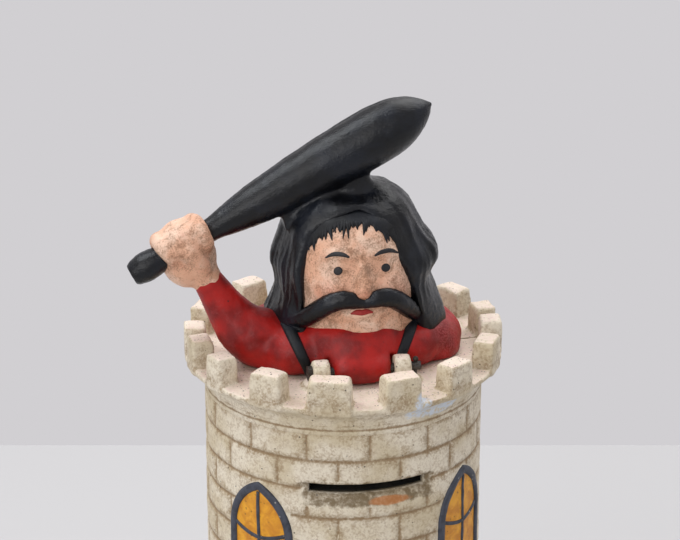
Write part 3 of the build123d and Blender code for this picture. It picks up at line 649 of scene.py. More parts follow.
def setAround(name, shape, places, material):
    # places are rows of angle, radius, height, width share, height share
    obj = addObject(name, bpy.data.meshes.new(name))
    points = [(r * math.sin(math.radians(a)) * mm, -r * math.cos(math.radians(a)) * mm, z * mm)
              for a, r, z, _, _ in places]
    obj.data.from_pydata(points, [], [])
    addValue(obj, "wide", [row[3] for row in places])
    addValue(obj, "tall", [row[4] for row in places])
    source = piece(name + "Shape", shape)
    ringTree.use(obj, {"Shape": source, "Material": material})
    bpy.data.objects.remove(source)
    return obj


def strands(name, lines, material, sides, step):
    # lines are lists of rows x, y, z, radius
    points, edges, thick = [], [], []
    for rows in lines:
        line = spline(rows, step)
        start = len(points)
        points += [tuple(p * mm) for p in line[:, :3]]
        edges += [(start + k, start + k + 1) for k in range(len(line) - 1)]
        thick += list(np.maximum(line[:, 3], 0.15))
    obj = addObject(name, bpy.data.meshes.new(name))
    obj.data.from_pydata(points, edges, [])
    addValue(obj, "thick", thick)
    return strandTree.use(obj, {"Sides": sides, "Material": material})


def shapeOf(obj):
    return readPoints(obj), [tuple(polygon.vertices) for polygon in obj.data.polygons]


def join(name, objects):
    # one object from several; it loses their materials and is painted afterwards
    shapes = []
    for obj in objects:
        shapes.append(shapeOf(obj))
        bpy.data.objects.remove(obj)
    return piece(name, gather(shapes))


def paintWith(obj, material):
    obj.data.materials.clear()
    obj.data.materials.append(material)
    for polygon in obj.data.polygons:
        polygon.material_index = 0
    return obj


wallSizes = {
    "radius": 38.0, "inner": 34.8, "top": 152.6, "courseTop": 152.0, "course": 8.3, "blocks": 14,
    "grooveDepth": 0.42, "grooveHalf": 0.62, "seamGap": 0.16,
    "foot": [(49, 0.0), (49, 5.2), (48.6, 6.0), (47.3, 7.4), (47, 8.2), (47, 10.6), (46.4, 11.6),
             (40.7, 18.2),
             (40.2, 18.9), (40.2, 20.9), (39.8, 21.5), (38, 23.2)],
    "footInner": [(44.3, 0.0), (44.3, 3.5), (44.3, 7.5), (42.6, 7.5), (41, 7.5), (40, 9.6), (38.6, 12.5),
                  (37.2, 15.3),
                  (36, 17.8), (34.8, 20.2), (34.8, 21.6), (34.8, 23.2)],
    "slotHalf": 16.5, "slotLow": 134.1, "slotHigh": 137.0, "slotLip": 131.4,
    "slotRows": [132.1, 132.8, 133.5, 137.5],
    "seats": [(30.0, 5.9), (104.0, 5.9)],
}
windowSizes = {"centres": (-47.45, 47.45), "half": 10.5, "sill": 99.0, "spring": 119.8, "offset": 5.5,
               "bar": 2.3,
               "rise": 0.8, "rib": 1.05, "ribRise": 0.5, "branchDrop": 14.0, "branchRise": 2.6}
doorSizes = {"half": 14.0, "sill": 23.2, "spring": 58.0, "offset": 5.5, "bar": 2.6, "rise": 0.9, "planks": 6}


def archHalf(sizes, z):
    # half the width of a pointed arch at one height, or less than nothing above its tip
    if z < sizes["sill"]:
        return -1.0
    if z <= sizes["spring"]:
        return sizes["half"]
    radius = sizes["half"] + sizes["offset"]
    return math.sqrt(max(radius ** 2 - (z - sizes["spring"]) ** 2, 0)) - sizes["offset"]


def insideOpenings(isFront, angle, z, margin):
    for centre in windowSizes["centres"]:
        if abs(math.radians(angle - centre)) * wallSizes["radius"] < archHalf(windowSizes, z) + margin:
            return True
    return isFront and abs(math.radians(angle)) * wallSizes["radius"] < archHalf(doorSizes, z) + margin


def wallHalf(name, isFront):
    w = wallSizes
    joint = 180 / w["blocks"]
    steps = np.array([0, 0.32, 0.66, 1.05, 1.9, 3.0])
    toDegrees = math.degrees(1 / w["radius"])
    columns = [-90 + w["seamGap"] * toDegrees, 90 - w["seamGap"] * toDegrees]
    for k in range(-7, 8):
        columns += [k * joint + side * step * toDegrees for step in steps for side in (-1, 1)]
        columns.append((k + 0.5) * joint)
    columns += [-90 + 0.5 * toDegrees, 90 - 0.5 * toDegrees]
    columns = np.unique(np.round([c for c in columns if abs(c) <= columns[1]], 3))
    heights = [w["slotLow"], w["slotHigh"], w["slotLip"], *w["slotRows"], w["top"], w["foot"][-1][1]]
    for k in range(17):
        level = w["courseTop"] - k * w["course"]
        heights += [level + side * step for step in steps for side in (-1, 1)] + [level - w["course"] / 2]
    heights = sorted({round(h, 2) for h in heights if w["foot"][-1][1] <= h <= w["top"]})
    heights = [h for k, h in enumerate(heights) if k == 0 or h - heights[k - 1] > 0.12]
    rows = [(r, z, ri, zi) for (r, z), (ri, zi) in zip(w["foot"][:-1], w["footInner"][:-1])]
    rows += [(w["radius"], h, w["inner"], h) for h in heights]
    slotEdge = math.degrees(math.asin(w["slotHalf"] / w["radius"]))
    outer, inner, groove, near, recess = [], [], [], [], []
    for r, z, ri, zi in rows:
        course = (w["courseTop"] - z) / w["course"]
        odd = int(math.floor(course)) % 2
        for angle in columns:
            s = math.radians(angle) * w["radius"]
            wave = 0.16 * noise.noise(Vector((s / 5, z / 5, 3.0 if isFront else 9.0)))
            levelGap = abs(course - round(course)) * w["course"] + wave
            pitch = 2 * joint
            turnShare = angle / pitch + (0.5 if odd else 0.0)
            jointGap = abs(turnShare - round(turnShare)) * pitch / toDegrees + wave
            if z < w["foot"][-1][1] + 2 or z > w["courseTop"] + 0.3:
                jointGap = levelGap = 9.0
            if insideOpenings(isFront, angle, z, 0.5):
                jointGap = levelGap = 9.0
            cutIn = 0.0
            if isFront and abs(s) < w["slotHalf"] + 3.2 and w["slotLip"] - 0.4 < z < w["slotHigh"] + 0.9:
                sideways = min(1.0, (w["slotHalf"] + 3.0 - abs(s)) / 2.2)
                upward = min(1.0, (z - w["slotLip"] + 0.4) / 2.4)
                cutIn = 1.15 * max(0.0, sideways) * max(0.0, upward)
                if z >= w["slotHigh"] + 0.2:
                    cutIn *= 0.25
                jointGap = levelGap = 9.0 if cutIn > 0.3 else levelGap
            depth = max(math.exp(-(levelGap / w["grooveHalf"]) ** 2),
                        0.9 * math.exp(-(jointGap / w["grooveHalf"]) ** 2))
            seam = max(0.0, 1 - (90 - w["seamGap"] * toDegrees - abs(angle)) * w["radius"] / 57.3 / 0.7)
            lump = 0.13 * noise.noise(Vector((s / 6, z / 6, 1.0)))
            lump += 0.05 * noise.noise(Vector((s / 1.4, z / 1.4, 7.0)))
            radius = r - w["grooveDepth"] * depth - cutIn - 0.35 * seam ** 2 + (lump if z > 1 else 0)
            turn = math.radians(angle)
            outer.append((radius * math.sin(turn), -radius * math.cos(turn), z))
            inner.append((ri * math.sin(turn), -ri * math.cos(turn), zi))
            groove.append(max(depth, 0.75 * seam, 0.5 * min(1.0, cutIn)))
            # near: darker brown close to the joints, and painted shade on the wall just under the crown's
            # flare
            close = max(math.exp(-(levelGap / 2.0) ** 2), math.exp(-(jointGap / 2.0) ** 2))
            near.append(max(close * 0.75, 0.6 * math.exp(-((w["top"] - z) / 3.0) ** 2)))
            # recess: how close a point is to the slot's recess, where the paint puts shade
            aside = max(0.0, abs(s) - w["slotHalf"]) / 3.4
            below = max(0.0, w["slotLip"] - z, z - w["slotHigh"]) / 1.5
            recess.append(math.exp(-aside ** 2 - below ** 2) if isFront else 0.0)
    wide, tall = len(columns), len(rows)
    holes = np.zeros((tall - 1, wide - 1), bool)
    for k in range(tall - 1):
        middle = (rows[k][1] + rows[k + 1][1]) / 2
        if isFront and w["slotLow"] < middle < w["slotHigh"]:
            holes[k] = [abs((a + b) / 2) < slotEdge for a, b in zip(columns, columns[1:])]
    half = wide * tall
    faces = []
    for k in range(-1, tall):
        for j in range(-1, wide):
            here = 0 <= k < tall - 1 and 0 <= j < wide - 1 and not holes[k, j]
            a, b, c, d = k * wide + j, k * wide + j + 1, (k + 1) * wide + j + 1, (k + 1) * wide + j
            if here:
                faces.append((a, b, c, d))
                faces.append((a + half, d + half, c + half, b + half))
            above = 0 <= k + 1 < tall - 1 and 0 <= j < wide - 1 and not holes[k + 1, j]
            beside = 0 <= k < tall - 1 and 0 <= j + 1 < wide - 1 and not holes[k, j + 1]
            if 0 <= j < wide - 1 and here != above:
                faces.append((d, c, c + half, d + half))
            if 0 <= k < tall - 1 and here != beside:
                faces.append((b, c, c + half, b + half))
    points = np.array(outer + inner)
    if not isFront:
        points[:, :2] *= -1
    obj = piece(name, (points, faces))
    addWall(obj, points, [values + [0.0] * half for values in (groove, near, recess)])
    return obj


def addWall(obj, points, marks):
    # merging changes the order of the points, so their marks are looked up by place
    rows = list(zip(*marks))
    keys = {tuple(np.round(p, 3)): row for p, row in zip(points, rows)}
    found = np.array([keys.get(tuple(np.round(p, 3)), (0.0, 0.0, 0.0)) for p in readPoints(obj)])
    for column, name in enumerate(("groove", "near", "recess")):
        addValue(obj, name, found[:, column])
    for name in ("hollow", "edge", "up"):
        addValue(obj, name, np.zeros(len(found)))


def seatPads():
    # the flat round seats under the two long screws, at the back
    pads = []
    for height, radius in wallSizes["seats"]:
        profile = [(radius, radius, 34.5), (radius, radius, 38.2), (radius - 0.4, radius - 0.4, 38.6)]
        points, faces = turned((0, 0), profile, 40)
        points = np.stack([points[:, 0], points[:, 2], height + points[:, 1]], 1)
        pads.append((points, faces))
    return pads


print("tower walls")
wallFront = wallHalf("towerWallFront", True)
wallBack = wallHalf("towerWallBack", False)
pads = piece("towerScrewSeats", gather(seatPads()))
for value in ("groove", "hollow", "edge", "up", "near", "recess"):
    addValue(pads, value, np.zeros(len(pads.data.vertices)))


crownSizes = {
    "profile": [(37.85, 150.9), (38.15, 151.8), (38.2, 152.15), (37.95, 152.8), (38.0, 153.2), (38.35, 153.6),
                (38.4, 154.0), (39.2, 156.56), (41.0, 158.1), (43.3, 159.7), (43.4, 160.2), (43.4, 161.0)],
    "inner": [(34.8, 157.8), (34.8, 150.9)],
    "voxel": 0.46, "merlonRadius": 40.35, "merlonWidth": 9.4, "merlonDepth": 6.1, "merlonTop": 169.0,
    "merlonFoot": 159.0,
    "front": ((-63.5, 0.72), (-39.1, 1.0), (-15.4, 1.28), (10.8, 1.12), (35.6, 0.95), (61.5, 0.9)),
    "backAngles": (119.4, 149.7, 180.0, 210.3, 240.6),
    "seamAngles": 83.4, "seamWidth": 7.2,
}


def merlonShape():
    # a block with slightly leaning sides and a worn, uneven top
    c = crownSizes
    low, high = c["merlonFoot"], c["merlonTop"]
    half, deep = c["merlonWidth"] / 2, c["merlonDepth"] / 2
    points = []
    levels = [(low, 1.0), (162.0, 1.0), (166.0, 0.985), (high - 0.9, 0.95), (high, 0.84)]
    for z, share in levels:
        points += [(-half * share, -deep, z - low), (half * share, -deep, z - low),
                   (half * share, deep * share, z - low), (-half * share, deep * share, z - low)]
    ends = [(3, 2, 1, 0), tuple(range(4 * len(levels) - 4, 4 * len(levels)))]
    return np.array(points, float), bands(len(levels), 4) + ends


pinSizes = {"y": -25.5, "z": 165.0, "lug": 3.45, "room": 3.85}


def earShape(middle):
    # one of the two lugs that carry the pin, round on top and wide at its foot
    pivotY, pivotZ, radius = pinSizes["y"], pinSizes["z"], pinSizes["lug"]
    outline = [(pivotY + radius * math.cos(math.radians(t)), pivotZ + radius * math.sin(math.radians(t)))
               for t in range(0, 181, 15)]
    outline += [(pivotY - radius - 0.5, 162.4), (pivotY - radius - 1.2, 160.2),
                (pivotY + radius + 1.2, 160.2),
                (pivotY + radius + 0.5, 162.4)]
    outer = math.copysign(3.6, middle)
    lug = prism(outline, 0, middle - 2.3, middle + 2.3)
    foot = ball((middle + outer * 0.6, pivotY, 160.8), (3.4, 4.6, 2.3))
    return gather([lug, foot])


def crownHalf(name, isFront):
    c = crownSizes
    start = -90 if isFront else 90
    narrow = c["seamWidth"] / c["merlonWidth"]
    profile = [(0.001, 0.001, 157.8)] + [(r, r, z) for r, z in c["inner"]]
    profile += [(r, r, z) for r, z in c["profile"]] + [(0.001, 0.001, 161.0)]
    base = piece(name, turned((0, 0), profile, 90, start, 180))
    if isFront:
        hatch = piece("hatchTool", prism([(-11, -21), (11, -21), (11, -11), (-11, -11)], 2, 155, 164))
        base = cut(base, hatch)
        angles = list(c["front"]) + [(s * c["seamAngles"], narrow) for s in (-1, 1)]
    else:
        angles = [(a, 1.0) for a in c["backAngles"]]
        angles += [(180 - s * c["seamAngles"], narrow) for s in (-1, 1)]
    generator = np.random.default_rng(11 if isFront else 12)
    places = [(a + generator.uniform(-0.4, 0.4), c["merlonRadius"], c["merlonFoot"],
               share * generator.uniform(0.97, 1.02),
               generator.uniform(0.965, 1.0)) for a, share in angles]
    teeth = setAround(name + "Teeth", merlonShape(), places, towerPaint)
    parts = [base, teeth]
    if isFront:
        parts += [piece("lug", earShape(-11.0)), piece("lug", earShape(11.0))]
    obj = join(name, parts)
    obj = melt(obj, c["voxel"])
    relax(obj, 8)
    points = readPoints(obj)
    gap = wallSizes["seamGap"]
    points[:, 1] = np.minimum(points[:, 1], -gap) if isFront else np.maximum(points[:, 1], gap)
    points[:, 2] += 0.22 * grain(points, 3.5, 2.0) * (points[:, 2] > 165)
    writePoints(obj, points)
    roughen(obj, 0.16, 2.6, 4.0)
    roughen(obj, 0.06, 0.9, 5.0)
    markRelief(obj, 14, 1.35)
    points = readPoints(obj)
    ridge = np.exp(-((points[:, 2] - 153.0) / 0.5) ** 2) + np.exp(-((points[:, 2] - 154.4) / 0.35) ** 2) * 0.6
    ridge *= np.hypot(points[:, 0], points[:, 1]) > 37
    seam = np.exp(-(np.abs(points[:, 1]) / 0.35) ** 2) * 1.1
    addValue(obj, "groove", np.clip(np.maximum(ridge, seam), 0, 1))
    # painted shade: the crown's sides and the feet of the merlons take more brown than the upward faces
    outside = np.hypot(points[:, 0], points[:, 1]) > 39
    footShade = np.exp(-((points[:, 2] - 162.0) / 2.2) ** 2) * 0.35
    addValue(obj, "near", (np.where(outside, 0.32, 0.22) + footShade) * (readNormals(obj)[:, 2] < 0.8))
    addValue(obj, "recess", np.zeros(len(points)))
    return obj


print("tower crown")
crownFront = crownHalf("towerCrownFront", True)
crownBack = crownHalf("towerCrownBack", False)
for obj in (wallFront, wallBack, pads, crownFront, crownBack):
    paintWith(obj, towerPaint)


def onWall(flat, centre, radius=wallSizes["radius"]):
    # flat rows are way round in millimetres, height, and height over the wall
    turn = math.radians(centre) + flat[:, 0] / radius
    out = radius + flat[:, 2]
    return np.stack([out * np.sin(turn), -out * np.cos(turn), flat[:, 1]], 1)


def archLine(sizes, inset, step=0.9):
    # the closed outline of a pointed arch
    half, radius = sizes["half"] - inset, sizes["half"] + sizes["offset"] - inset
    tip = sizes["spring"] + math.sqrt(radius ** 2 - sizes["offset"] ** 2)
    top = math.acos(sizes["offset"] / radius)
    line = [(half, z) for z in np.arange(sizes["sill"] + inset, sizes["spring"], step)]
    count = int(radius * top / step)
    line += [(radius * math.cos(top * k / count) - sizes["offset"],
              sizes["spring"] + radius * math.sin(top * k / count))
             for k in range(count)]
    left = [(-s, z) for s, z in line[::-1]]
    foot = [(s, sizes["sill"] + inset) for s in np.arange(-half + step, half - step / 2, step)]
    return np.array(line + [(0.0, tip)] + left + foot)


def bar(line, width, rise, centre, closed, sink=0.5):
    # a raised, rounded band along a line on the wall
    count = len(line)
    if closed:
        ahead, behind = np.roll(line, -1, 0), np.roll(line, 1, 0)
    else:
        ahead, behind = np.vstack([line[1:], line[-1:]]), np.vstack([line[:1], line[:-1]])
    run = ahead - behind
    run /= np.linalg.norm(run, axis=1)[:, None]
    normal = np.stack([run[:, 1], -run[:, 0]], 1)
    section = [(-0.5, -sink), (-0.5, rise * 0.35), (-0.4, rise * 0.8), (-0.18, rise), (0.18, rise),
               (0.4, rise * 0.8),
               (0.5, rise * 0.35), (0.5, -sink)]
    points = []
    for across, lift in section:
        flat = np.column_stack([line + normal * across * width, np.full(count, lift)])
        wobble = 0.09 * np.array([noise.noise(Vector((a / 2.2, b / 2.2, across))) for a, b in line])
        flat[:, 2] += wobble if lift > 0 else 0
        flat[:, 0] += wobble * (1 if lift > 0 else 0)
        points.append(onWall(flat, centre))
    points = np.vstack(points)
    faces, rows = [], len(section)
    for k in range(rows):
        m = (k + 1) % rows
        for j in range(count if closed else count - 1):
            n = (j + 1) % count
            faces.append((k * count + j, k * count + n, m * count + n, m * count + j))
    if not closed:
        faces += [tuple(k * count for k in range(rows)),
                  tuple(k * count + count - 1 for k in range(rows))[::-1]]
    return points, faces


def archFill(sizes, inset, lift, centre, columns=14, sink=0.6, step=0.8):
    # the closed plate inside a pointed arch, following the wall's curve
    inner = dict(sizes, half=sizes["half"] - inset, sill=sizes["sill"] + inset)
    tip = sizes["spring"] + math.sqrt((inner["half"] + sizes["offset"]) ** 2 - sizes["offset"] ** 2)
    heights = list(np.arange(inner["sill"], tip - 0.2, step)) + [tip - 0.1]
    front, back = [], []
    for z in heights:
        half = max(archHalf(inner, z), 0.05)
        for k in range(columns + 1):
            s = half * (2 * k / columns - 1)
            front.append((s, z, lift + 0.06 * noise.noise(Vector((s / 2.5, z / 2.5, centre)))))
            back.append((s, z, -sink))
    return onWall(np.array(front + back), centre), closedSheet(columns + 1, len(heights))


def makeWindows(name, turnBy):
    w = windowSizes
    frames, panes = [], []
    for centre in w["centres"]:
        frames.append(bar(archLine(w, w["bar"] / 2), w["bar"], w["rise"], centre + turnBy, True))
        tip = archLine(w, w["bar"])[:, 1].max()
        fork = tip - w["branchDrop"]
        levels = np.arange(w["sill"] + w["bar"] - 0.4, tip + 0.3, 1.0)
        middle = np.array([(0.12 * math.sin(z / 3), z) for z in levels])
        frames.append(bar(middle, w["rib"], w["ribRise"], centre + turnBy, False))
        reach = archHalf(w, fork + w["branchRise"]) - w["bar"] * 0.6
        for side in (-1, 1):
            share = np.linspace(0, 1, 12)
            branch = np.column_stack([side * reach * share, fork + w["branchRise"] * share ** 1.7])
            frames.append(bar(branch, w["rib"], w["ribRise"], centre + turnBy, False))
        panes.append(archFill(w, w["bar"] * 0.7, 0.12, centre + turnBy))
    bars, glass = piece(name + "Bars", gather(frames)), piece(name + "Panes", gather(panes))
    return paintWith(bars, slatePaint), paintWith(glass, amberPaint)


def makeDoor():
    d = doorSizes
    surround = piece("doorSurround", bar(archLine(d, d["bar"] / 2), d["bar"], d["rise"], 0, True))
    leaf = archFill(d, d["bar"] * 0.7, 0.25, 0, columns=72)
    points, faces = leaf
    across = np.arctan2(points[:, 0], -points[:, 1]) * wallSizes["radius"]
    plank = 2 * d["half"] / d["planks"]
    gap = np.abs(across / plank - np.round(across / plank)) * plank
    share = 1 - 0.0095 * np.exp(-(gap / 0.4) ** 2)
    front = np.hypot(points[:, 0], points[:, 1]) > wallSizes["radius"] - 0.2
    points[front, :2] *= share[front, None]
    leaf = piece("doorLeaf", (points, faces))
    straps = []
    for z in (36.0, 54.0):
        line = np.array([(s, z + 0.15 * math.sin(s)) for s in np.arange(-11.2, 7.5, 1.0)])
        straps.append(bar(line, 2.2, 0.75, 0, False))
    ring = [(8.6 + 2.0 * math.cos(t), 45.5 + 2.4 * math.sin(t)) for t in np.linspace(0, 2 * math.pi, 28)[:-1]]
    straps.append(bar(np.array(ring), 0.8, 1.0, 0, True))
    iron = piece("doorStraps", gather(straps))
    studs = [(math.degrees(s / wallSizes["radius"]), wallSizes["radius"] + 0.6, z, 1.0, 1.0)
             for z in (36.0, 54.0) for s in (-9.5, -5.0, -0.5, 4.0)]
    nails = setAround("doorStuds", ball((0, 0, 0), (0.75, 0.55, 0.75), 12, 8), studs, slatePaint)
    for obj, paint in ((surround, slatePaint), (leaf, doorPaint), (iron, slatePaint), (nails, slatePaint)):
        paintWith(obj, paint)
    return [surround, leaf, iron, nails]


print("windows and door")
towerPieces = [*makeWindows("windowsFront", 0.0), *makeDoor()]
backPieces = [*makeWindows("windowsBack", 180.0)]


cameraSettings = {"height": 183.6, "side": -0.859, "distance": 750.0, "azimuth": -10.8, "elevation": 21.13,
                  "lens": 146.45}
giantSizes = {
    "seam": -3.0, "skull": (1.6, -4.0), "bottom": 161.4,
    "clubStart": (-57.4, -4.0, 188.2), "clubTilt": 28.0, "butt": -0.6,
    "club": [(1.6, 3.7), (3.0, 4.1), (5.6, 4.0), (9, 3.5), (16, 3.2), (23.3, 3.2), (28, 3.95), (34, 5.1),
             (41.2, 6.0), (48.7, 6.7),
             (59.5, 7.5), (71.9, 7.9), (77.9, 7.55), (82, 6.7), (85.4, 5.3), (88, 3.6), (89.6, 2.1),
             (90.4, 0.8)],
    "shoulderLine": [(-20.5, -6.5, 168.0, 7.6), (-24.5, -6.8, 168.6, 8.4), (-28.6, -6.4, 171.4, 7.5),
                     (-31.6, -5.6, 175.2, 6.1),
                     (-34.6, -5.0, 180.0, 5.0), (-37.6, -4.6, 185.0, 4.3)],
    "wristLine": [(-36.6, -4.7, 183.2, 3.9), (-38.4, -4.5, 186.4, 4.2), (-40.2, -4.3, 189.6, 4.8)],
    "straps": {"left": [(-19.4, 178.0), (-18.4, 175.6), (-16.3, 170.8), (-13.7, 164.8), (-13.0, 162.8)],
               "right": [(15.9, 178.0), (15.2, 175.4), (13.8, 171.0), (11.9, 165.7), (11.2, 163.2)]},
}
lookTurn, lookDrop = math.radians(cameraSettings["azimuth"]), math.radians(cameraSettings["elevation"])
frontal = Vector((-math.sin(lookTurn) * math.cos(lookDrop), math.cos(lookTurn) * math.cos(lookDrop),
                  -math.sin(lookDrop)))


faceSizes = {
    "middle": giantSizes["skull"][0] - 0.4, "eye": 191.3, "eyeAside": 6.4, "brow": 195.6, "mouth": 179.0,
    # rows of distance from the eye or from the middle, height, half width
    "brows": [(-3.0, 194.9, 0.25), (-1.2, 195.8, 0.6), (1.2, 196.1, 0.6), (3.4, 195.3, 0.2)],
    "lips": [(-3.0, 178.9, 0.2), (-1.4, 179.2, 0.75), (0.0, 179.0, 0.8), (1.4, 179.2, 0.75),
             (3.0, 178.9, 0.2)],
}


def partingLine(obj, depth):
    # the shallow joint where the two cast halves of the figure meet
    points, normals = readPoints(obj), readNormals(obj)
    near = np.exp(-((points[:, 1] - giantSizes["seam"]) / 0.42) ** 2)
    writePoints(obj, points - normals * (near * depth)[:, None])


def lugRoom(points):
    # behind and over each lug the shirt follows a cylinder about the pin
    room = pinSizes["room"]
    over = np.clip(points[:, 2] - pinSizes["z"], 0, room)
    rear = pinSizes["y"] + np.sqrt(room ** 2 - over ** 2)
    across = np.abs(points[:, 0])
    inside = (across > 8.25) & (across < 13.8) & (points[:, 2] < pinSizes["z"] + room)
    points[:, 1] = np.where(inside, np.maximum(points[:, 1], rear), points[:, 1])
    return points


def makeShirt():
    g = giantSizes
    low = g["bottom"]
    body = [(31.0, 19.8, low), (32.1, 21.0, low + 1.6), (32.2, 21.2, low + 3.6), (31.4, 20.4, low + 6.0),
            (29.4, 18.8, low + 8.2),
            (26.4, 17.0, low + 10.2), (22.0, 15.2, low + 12.0), (15.0, 12.0, low + 13.4),
            (0.01, 0.01, low + 14.0)]
    chest = [(16.6, 18.6, low), (17.0, 19.2, low + 3), (17.2, 19.2, low + 7.5), (17.0, 18.6, low + 10.5),
             (16.4, 17.6, low + 13),
             (15.2, 16.4, low + 14.4), (0.01, 0.01, low + 15.4)]
    prow = [(14.6, 22.6, low), (15.2, 22.9, low + 2.4), (15.6, 22.0, low + 5.5), (15.6, 20.6, low + 8.5),
            (15.2, 18.8, low + 11.5),
            (13.6, 16.6, low + 13.8), (0.01, 0.01, low + 14.6)]
    tongue = tube([(-4.2, -25.3, 165.2, 3.75), (0, -25.3, 165.2, 3.8), (4.6, -25.3, 165.2, 3.75)], 28, 0.9)
    flanks = [ball((-15.0, -11.8, 166.6), (9.4, 9.2, 7.2)), ball((15.6, -12.3, 166.4), (9.0, 8.8, 7.0)),
              ball((20.5, -7.5, 166.2), (8.6, 9.6, 7.6))]
    shoulders = [tube(g["shoulderLine"], 28, 0.9), ball((23.2, -3.5, 163.6), (8.8, 12.5, 7.6)),
                 ball((-16.5, -7.0, 164.8), (9.5, 10.5, 8.6))]
    shapes = [turned((0.6, -0.6), body, 96), turned((0.2, -4.2), chest, 72), turned((0.3, -5.8), prow, 72),
              tongue, *flanks, *shoulders]
    obj = melt(piece("giantShirt", gather(shapes)), 0.62)
    relax(obj, 14)
    points = readPoints(obj)
    folds = [((-28.5, -13.0, 176.0), (1.3, 5, 3.4), (0.5, 0.7, -0.1)),
             ((-31.5, -11.0, 179.5), (1.1, 5, 2.6), (0.4, 0.6, 0)),
             ((-24.0, -15.0, 170.0), (2.6, 5, 1.5), (0.2, 0.8, 0.1)),
             ((21.0, -14.0, 166.0), (2.4, 6, 5.0), (0.1, 0.6, 0))]
    for centre, reach, way in folds:
        points = pushed(points, centre, reach, way)
    # room for the two lugs of the tower, and a foot that rolls about the pin
    points = lugRoom(points)
    pinY, pinZ, room = pinSizes["y"], pinSizes["z"], pinSizes["room"]
    offY, offZ = points[:, 1] - pinY, points[:, 2] - pinZ
    off = np.hypot(offY, offZ)
    roll = (offZ < 0) & (offY < 0.5) & (off > room)
    points[roll, 1] = pinY + offY[roll] * room / off[roll]
    points[roll, 2] = pinZ + offZ[roll] * room / off[roll]
    # the casting is open below: its underside is pushed up into a hollow
    oval = np.hypot((points[:, 0] - 0.6) / 27.4, (points[:, 1] + 0.6) / 16.6)
    under = (points[:, 2] < low + 0.55) & (oval < 1.0)
    points[under, 2] += 7.2 * np.clip((1 - oval[under]) / 0.12, 0, 1)
    points[:, 2] = np.maximum(points[:, 2], low)
    writePoints(obj, points)
    relax(obj, 4)
    roughen(obj, 0.28, 5.5, 1.0)
    roughen(obj, 0.09, 1.5, 2.0)
    writePoints(obj, lugRoom(readPoints(obj)))
    partingLine(obj, 0.28)
    markRelief(obj, 16, 0.9)
    return paintWith(obj, shirtPaint)


def makeHead():
    # a plain face of this maker's own drawing: even features on a standard plan
    f = faceSizes
    x, y = giantSizes["skull"]
    skull = [(15.0, 14.4, 163.5), (17.0, 16.2, 167.0), (18.2, 17.4, 172.0), (18.8, 18.0, 178.0),
             (18.7, 18.0, 186.0),
             (17.8, 17.2, 193.0), (16.0, 15.8, 199.0), (13.2, 13.2, 203.4), (8.6, 8.6, 205.6),
             (0.01, 0.01, 206.6)]
    middle = f["middle"]
    nose = tube([(middle, y - 16.6, 192.5, 1.6), (middle, y - 17.3, 189.0, 1.9),
                 (middle, y - 18.0, 186.6, 2.1),
                 (middle, y - 18.2, 185.4, 2.2)], 20, 0.6)
    wings = [ball((middle + side * 2.0, y - 17.2, 185.0), (1.4, 1.6, 1.3)) for side in (-1, 1)]
    chin = ball((middle, y - 14.2, 174.6), (6.6, 4.8, 4.4))
    obj = melt(piece("giantHead", gather([turned((x, y), skull, 96), nose, *wings, chin])), 0.5)
    relax(obj, 9)
    points = readPoints(obj)
    front = y - 17.6
    for side in (-1, 1):
        eye = middle + side * f["eyeAside"]
        points = pushed(points, (eye, front, 191.4), (4.0, 6, 2.8), (0, 1.25, 0))
        points = pushed(points, (eye, front, f["eye"]), (2.1, 6, 1.6), (0, -0.75, 0))
        points = pushed(points, (eye, front, f["brow"]), (4.4, 6, 1.6), (0, -0.8, 0))
        points = pushed(points, (middle + side * 9.4, front + 2, 185.4), (4.2, 7, 3.6), (0, -1.0, 0))
        points = pushed(points, (middle + side * 4.4, front, 185.2), (1.2, 6, 2.4), (0, 0.55, 0))
    points = pushed(points, (middle, front, 200.4), (9.0, 6, 4.6), (0, -0.5, 0))
    points = pushed(points, (middle, front, f["mouth"]), (3.6, 6, 0.9), (0, -0.8, 0))
    points = pushed(points, (middle, front, 176.9), (3.6, 6, 0.8), (0, 0.5, 0))
    writePoints(obj, points)
    roughen(obj, 0.2, 4.0, 3.0)
    roughen(obj, 0.07, 1.2, 6.0)
    markRelief(obj, 18, 1.4)
    points = readPoints(obj)
    rosy = np.zeros(len(points))
    blushes = [((middle + 9.4, front, 185.0), (4.5, 8, 3.6)), ((middle - 9.4, front, 185.0), (4.5, 8, 3.6)),
               ((middle, front - 3, 184.8), (2.6, 5, 2.4))]
    for centre, reach in blushes:
        rosy += np.exp(-(((points - np.array(centre)) / np.array(reach)) ** 2).sum(1))
    addValue(obj, "rosy", np.clip(rosy, 0, 1))
    return paintWith(obj, fleshPaint)


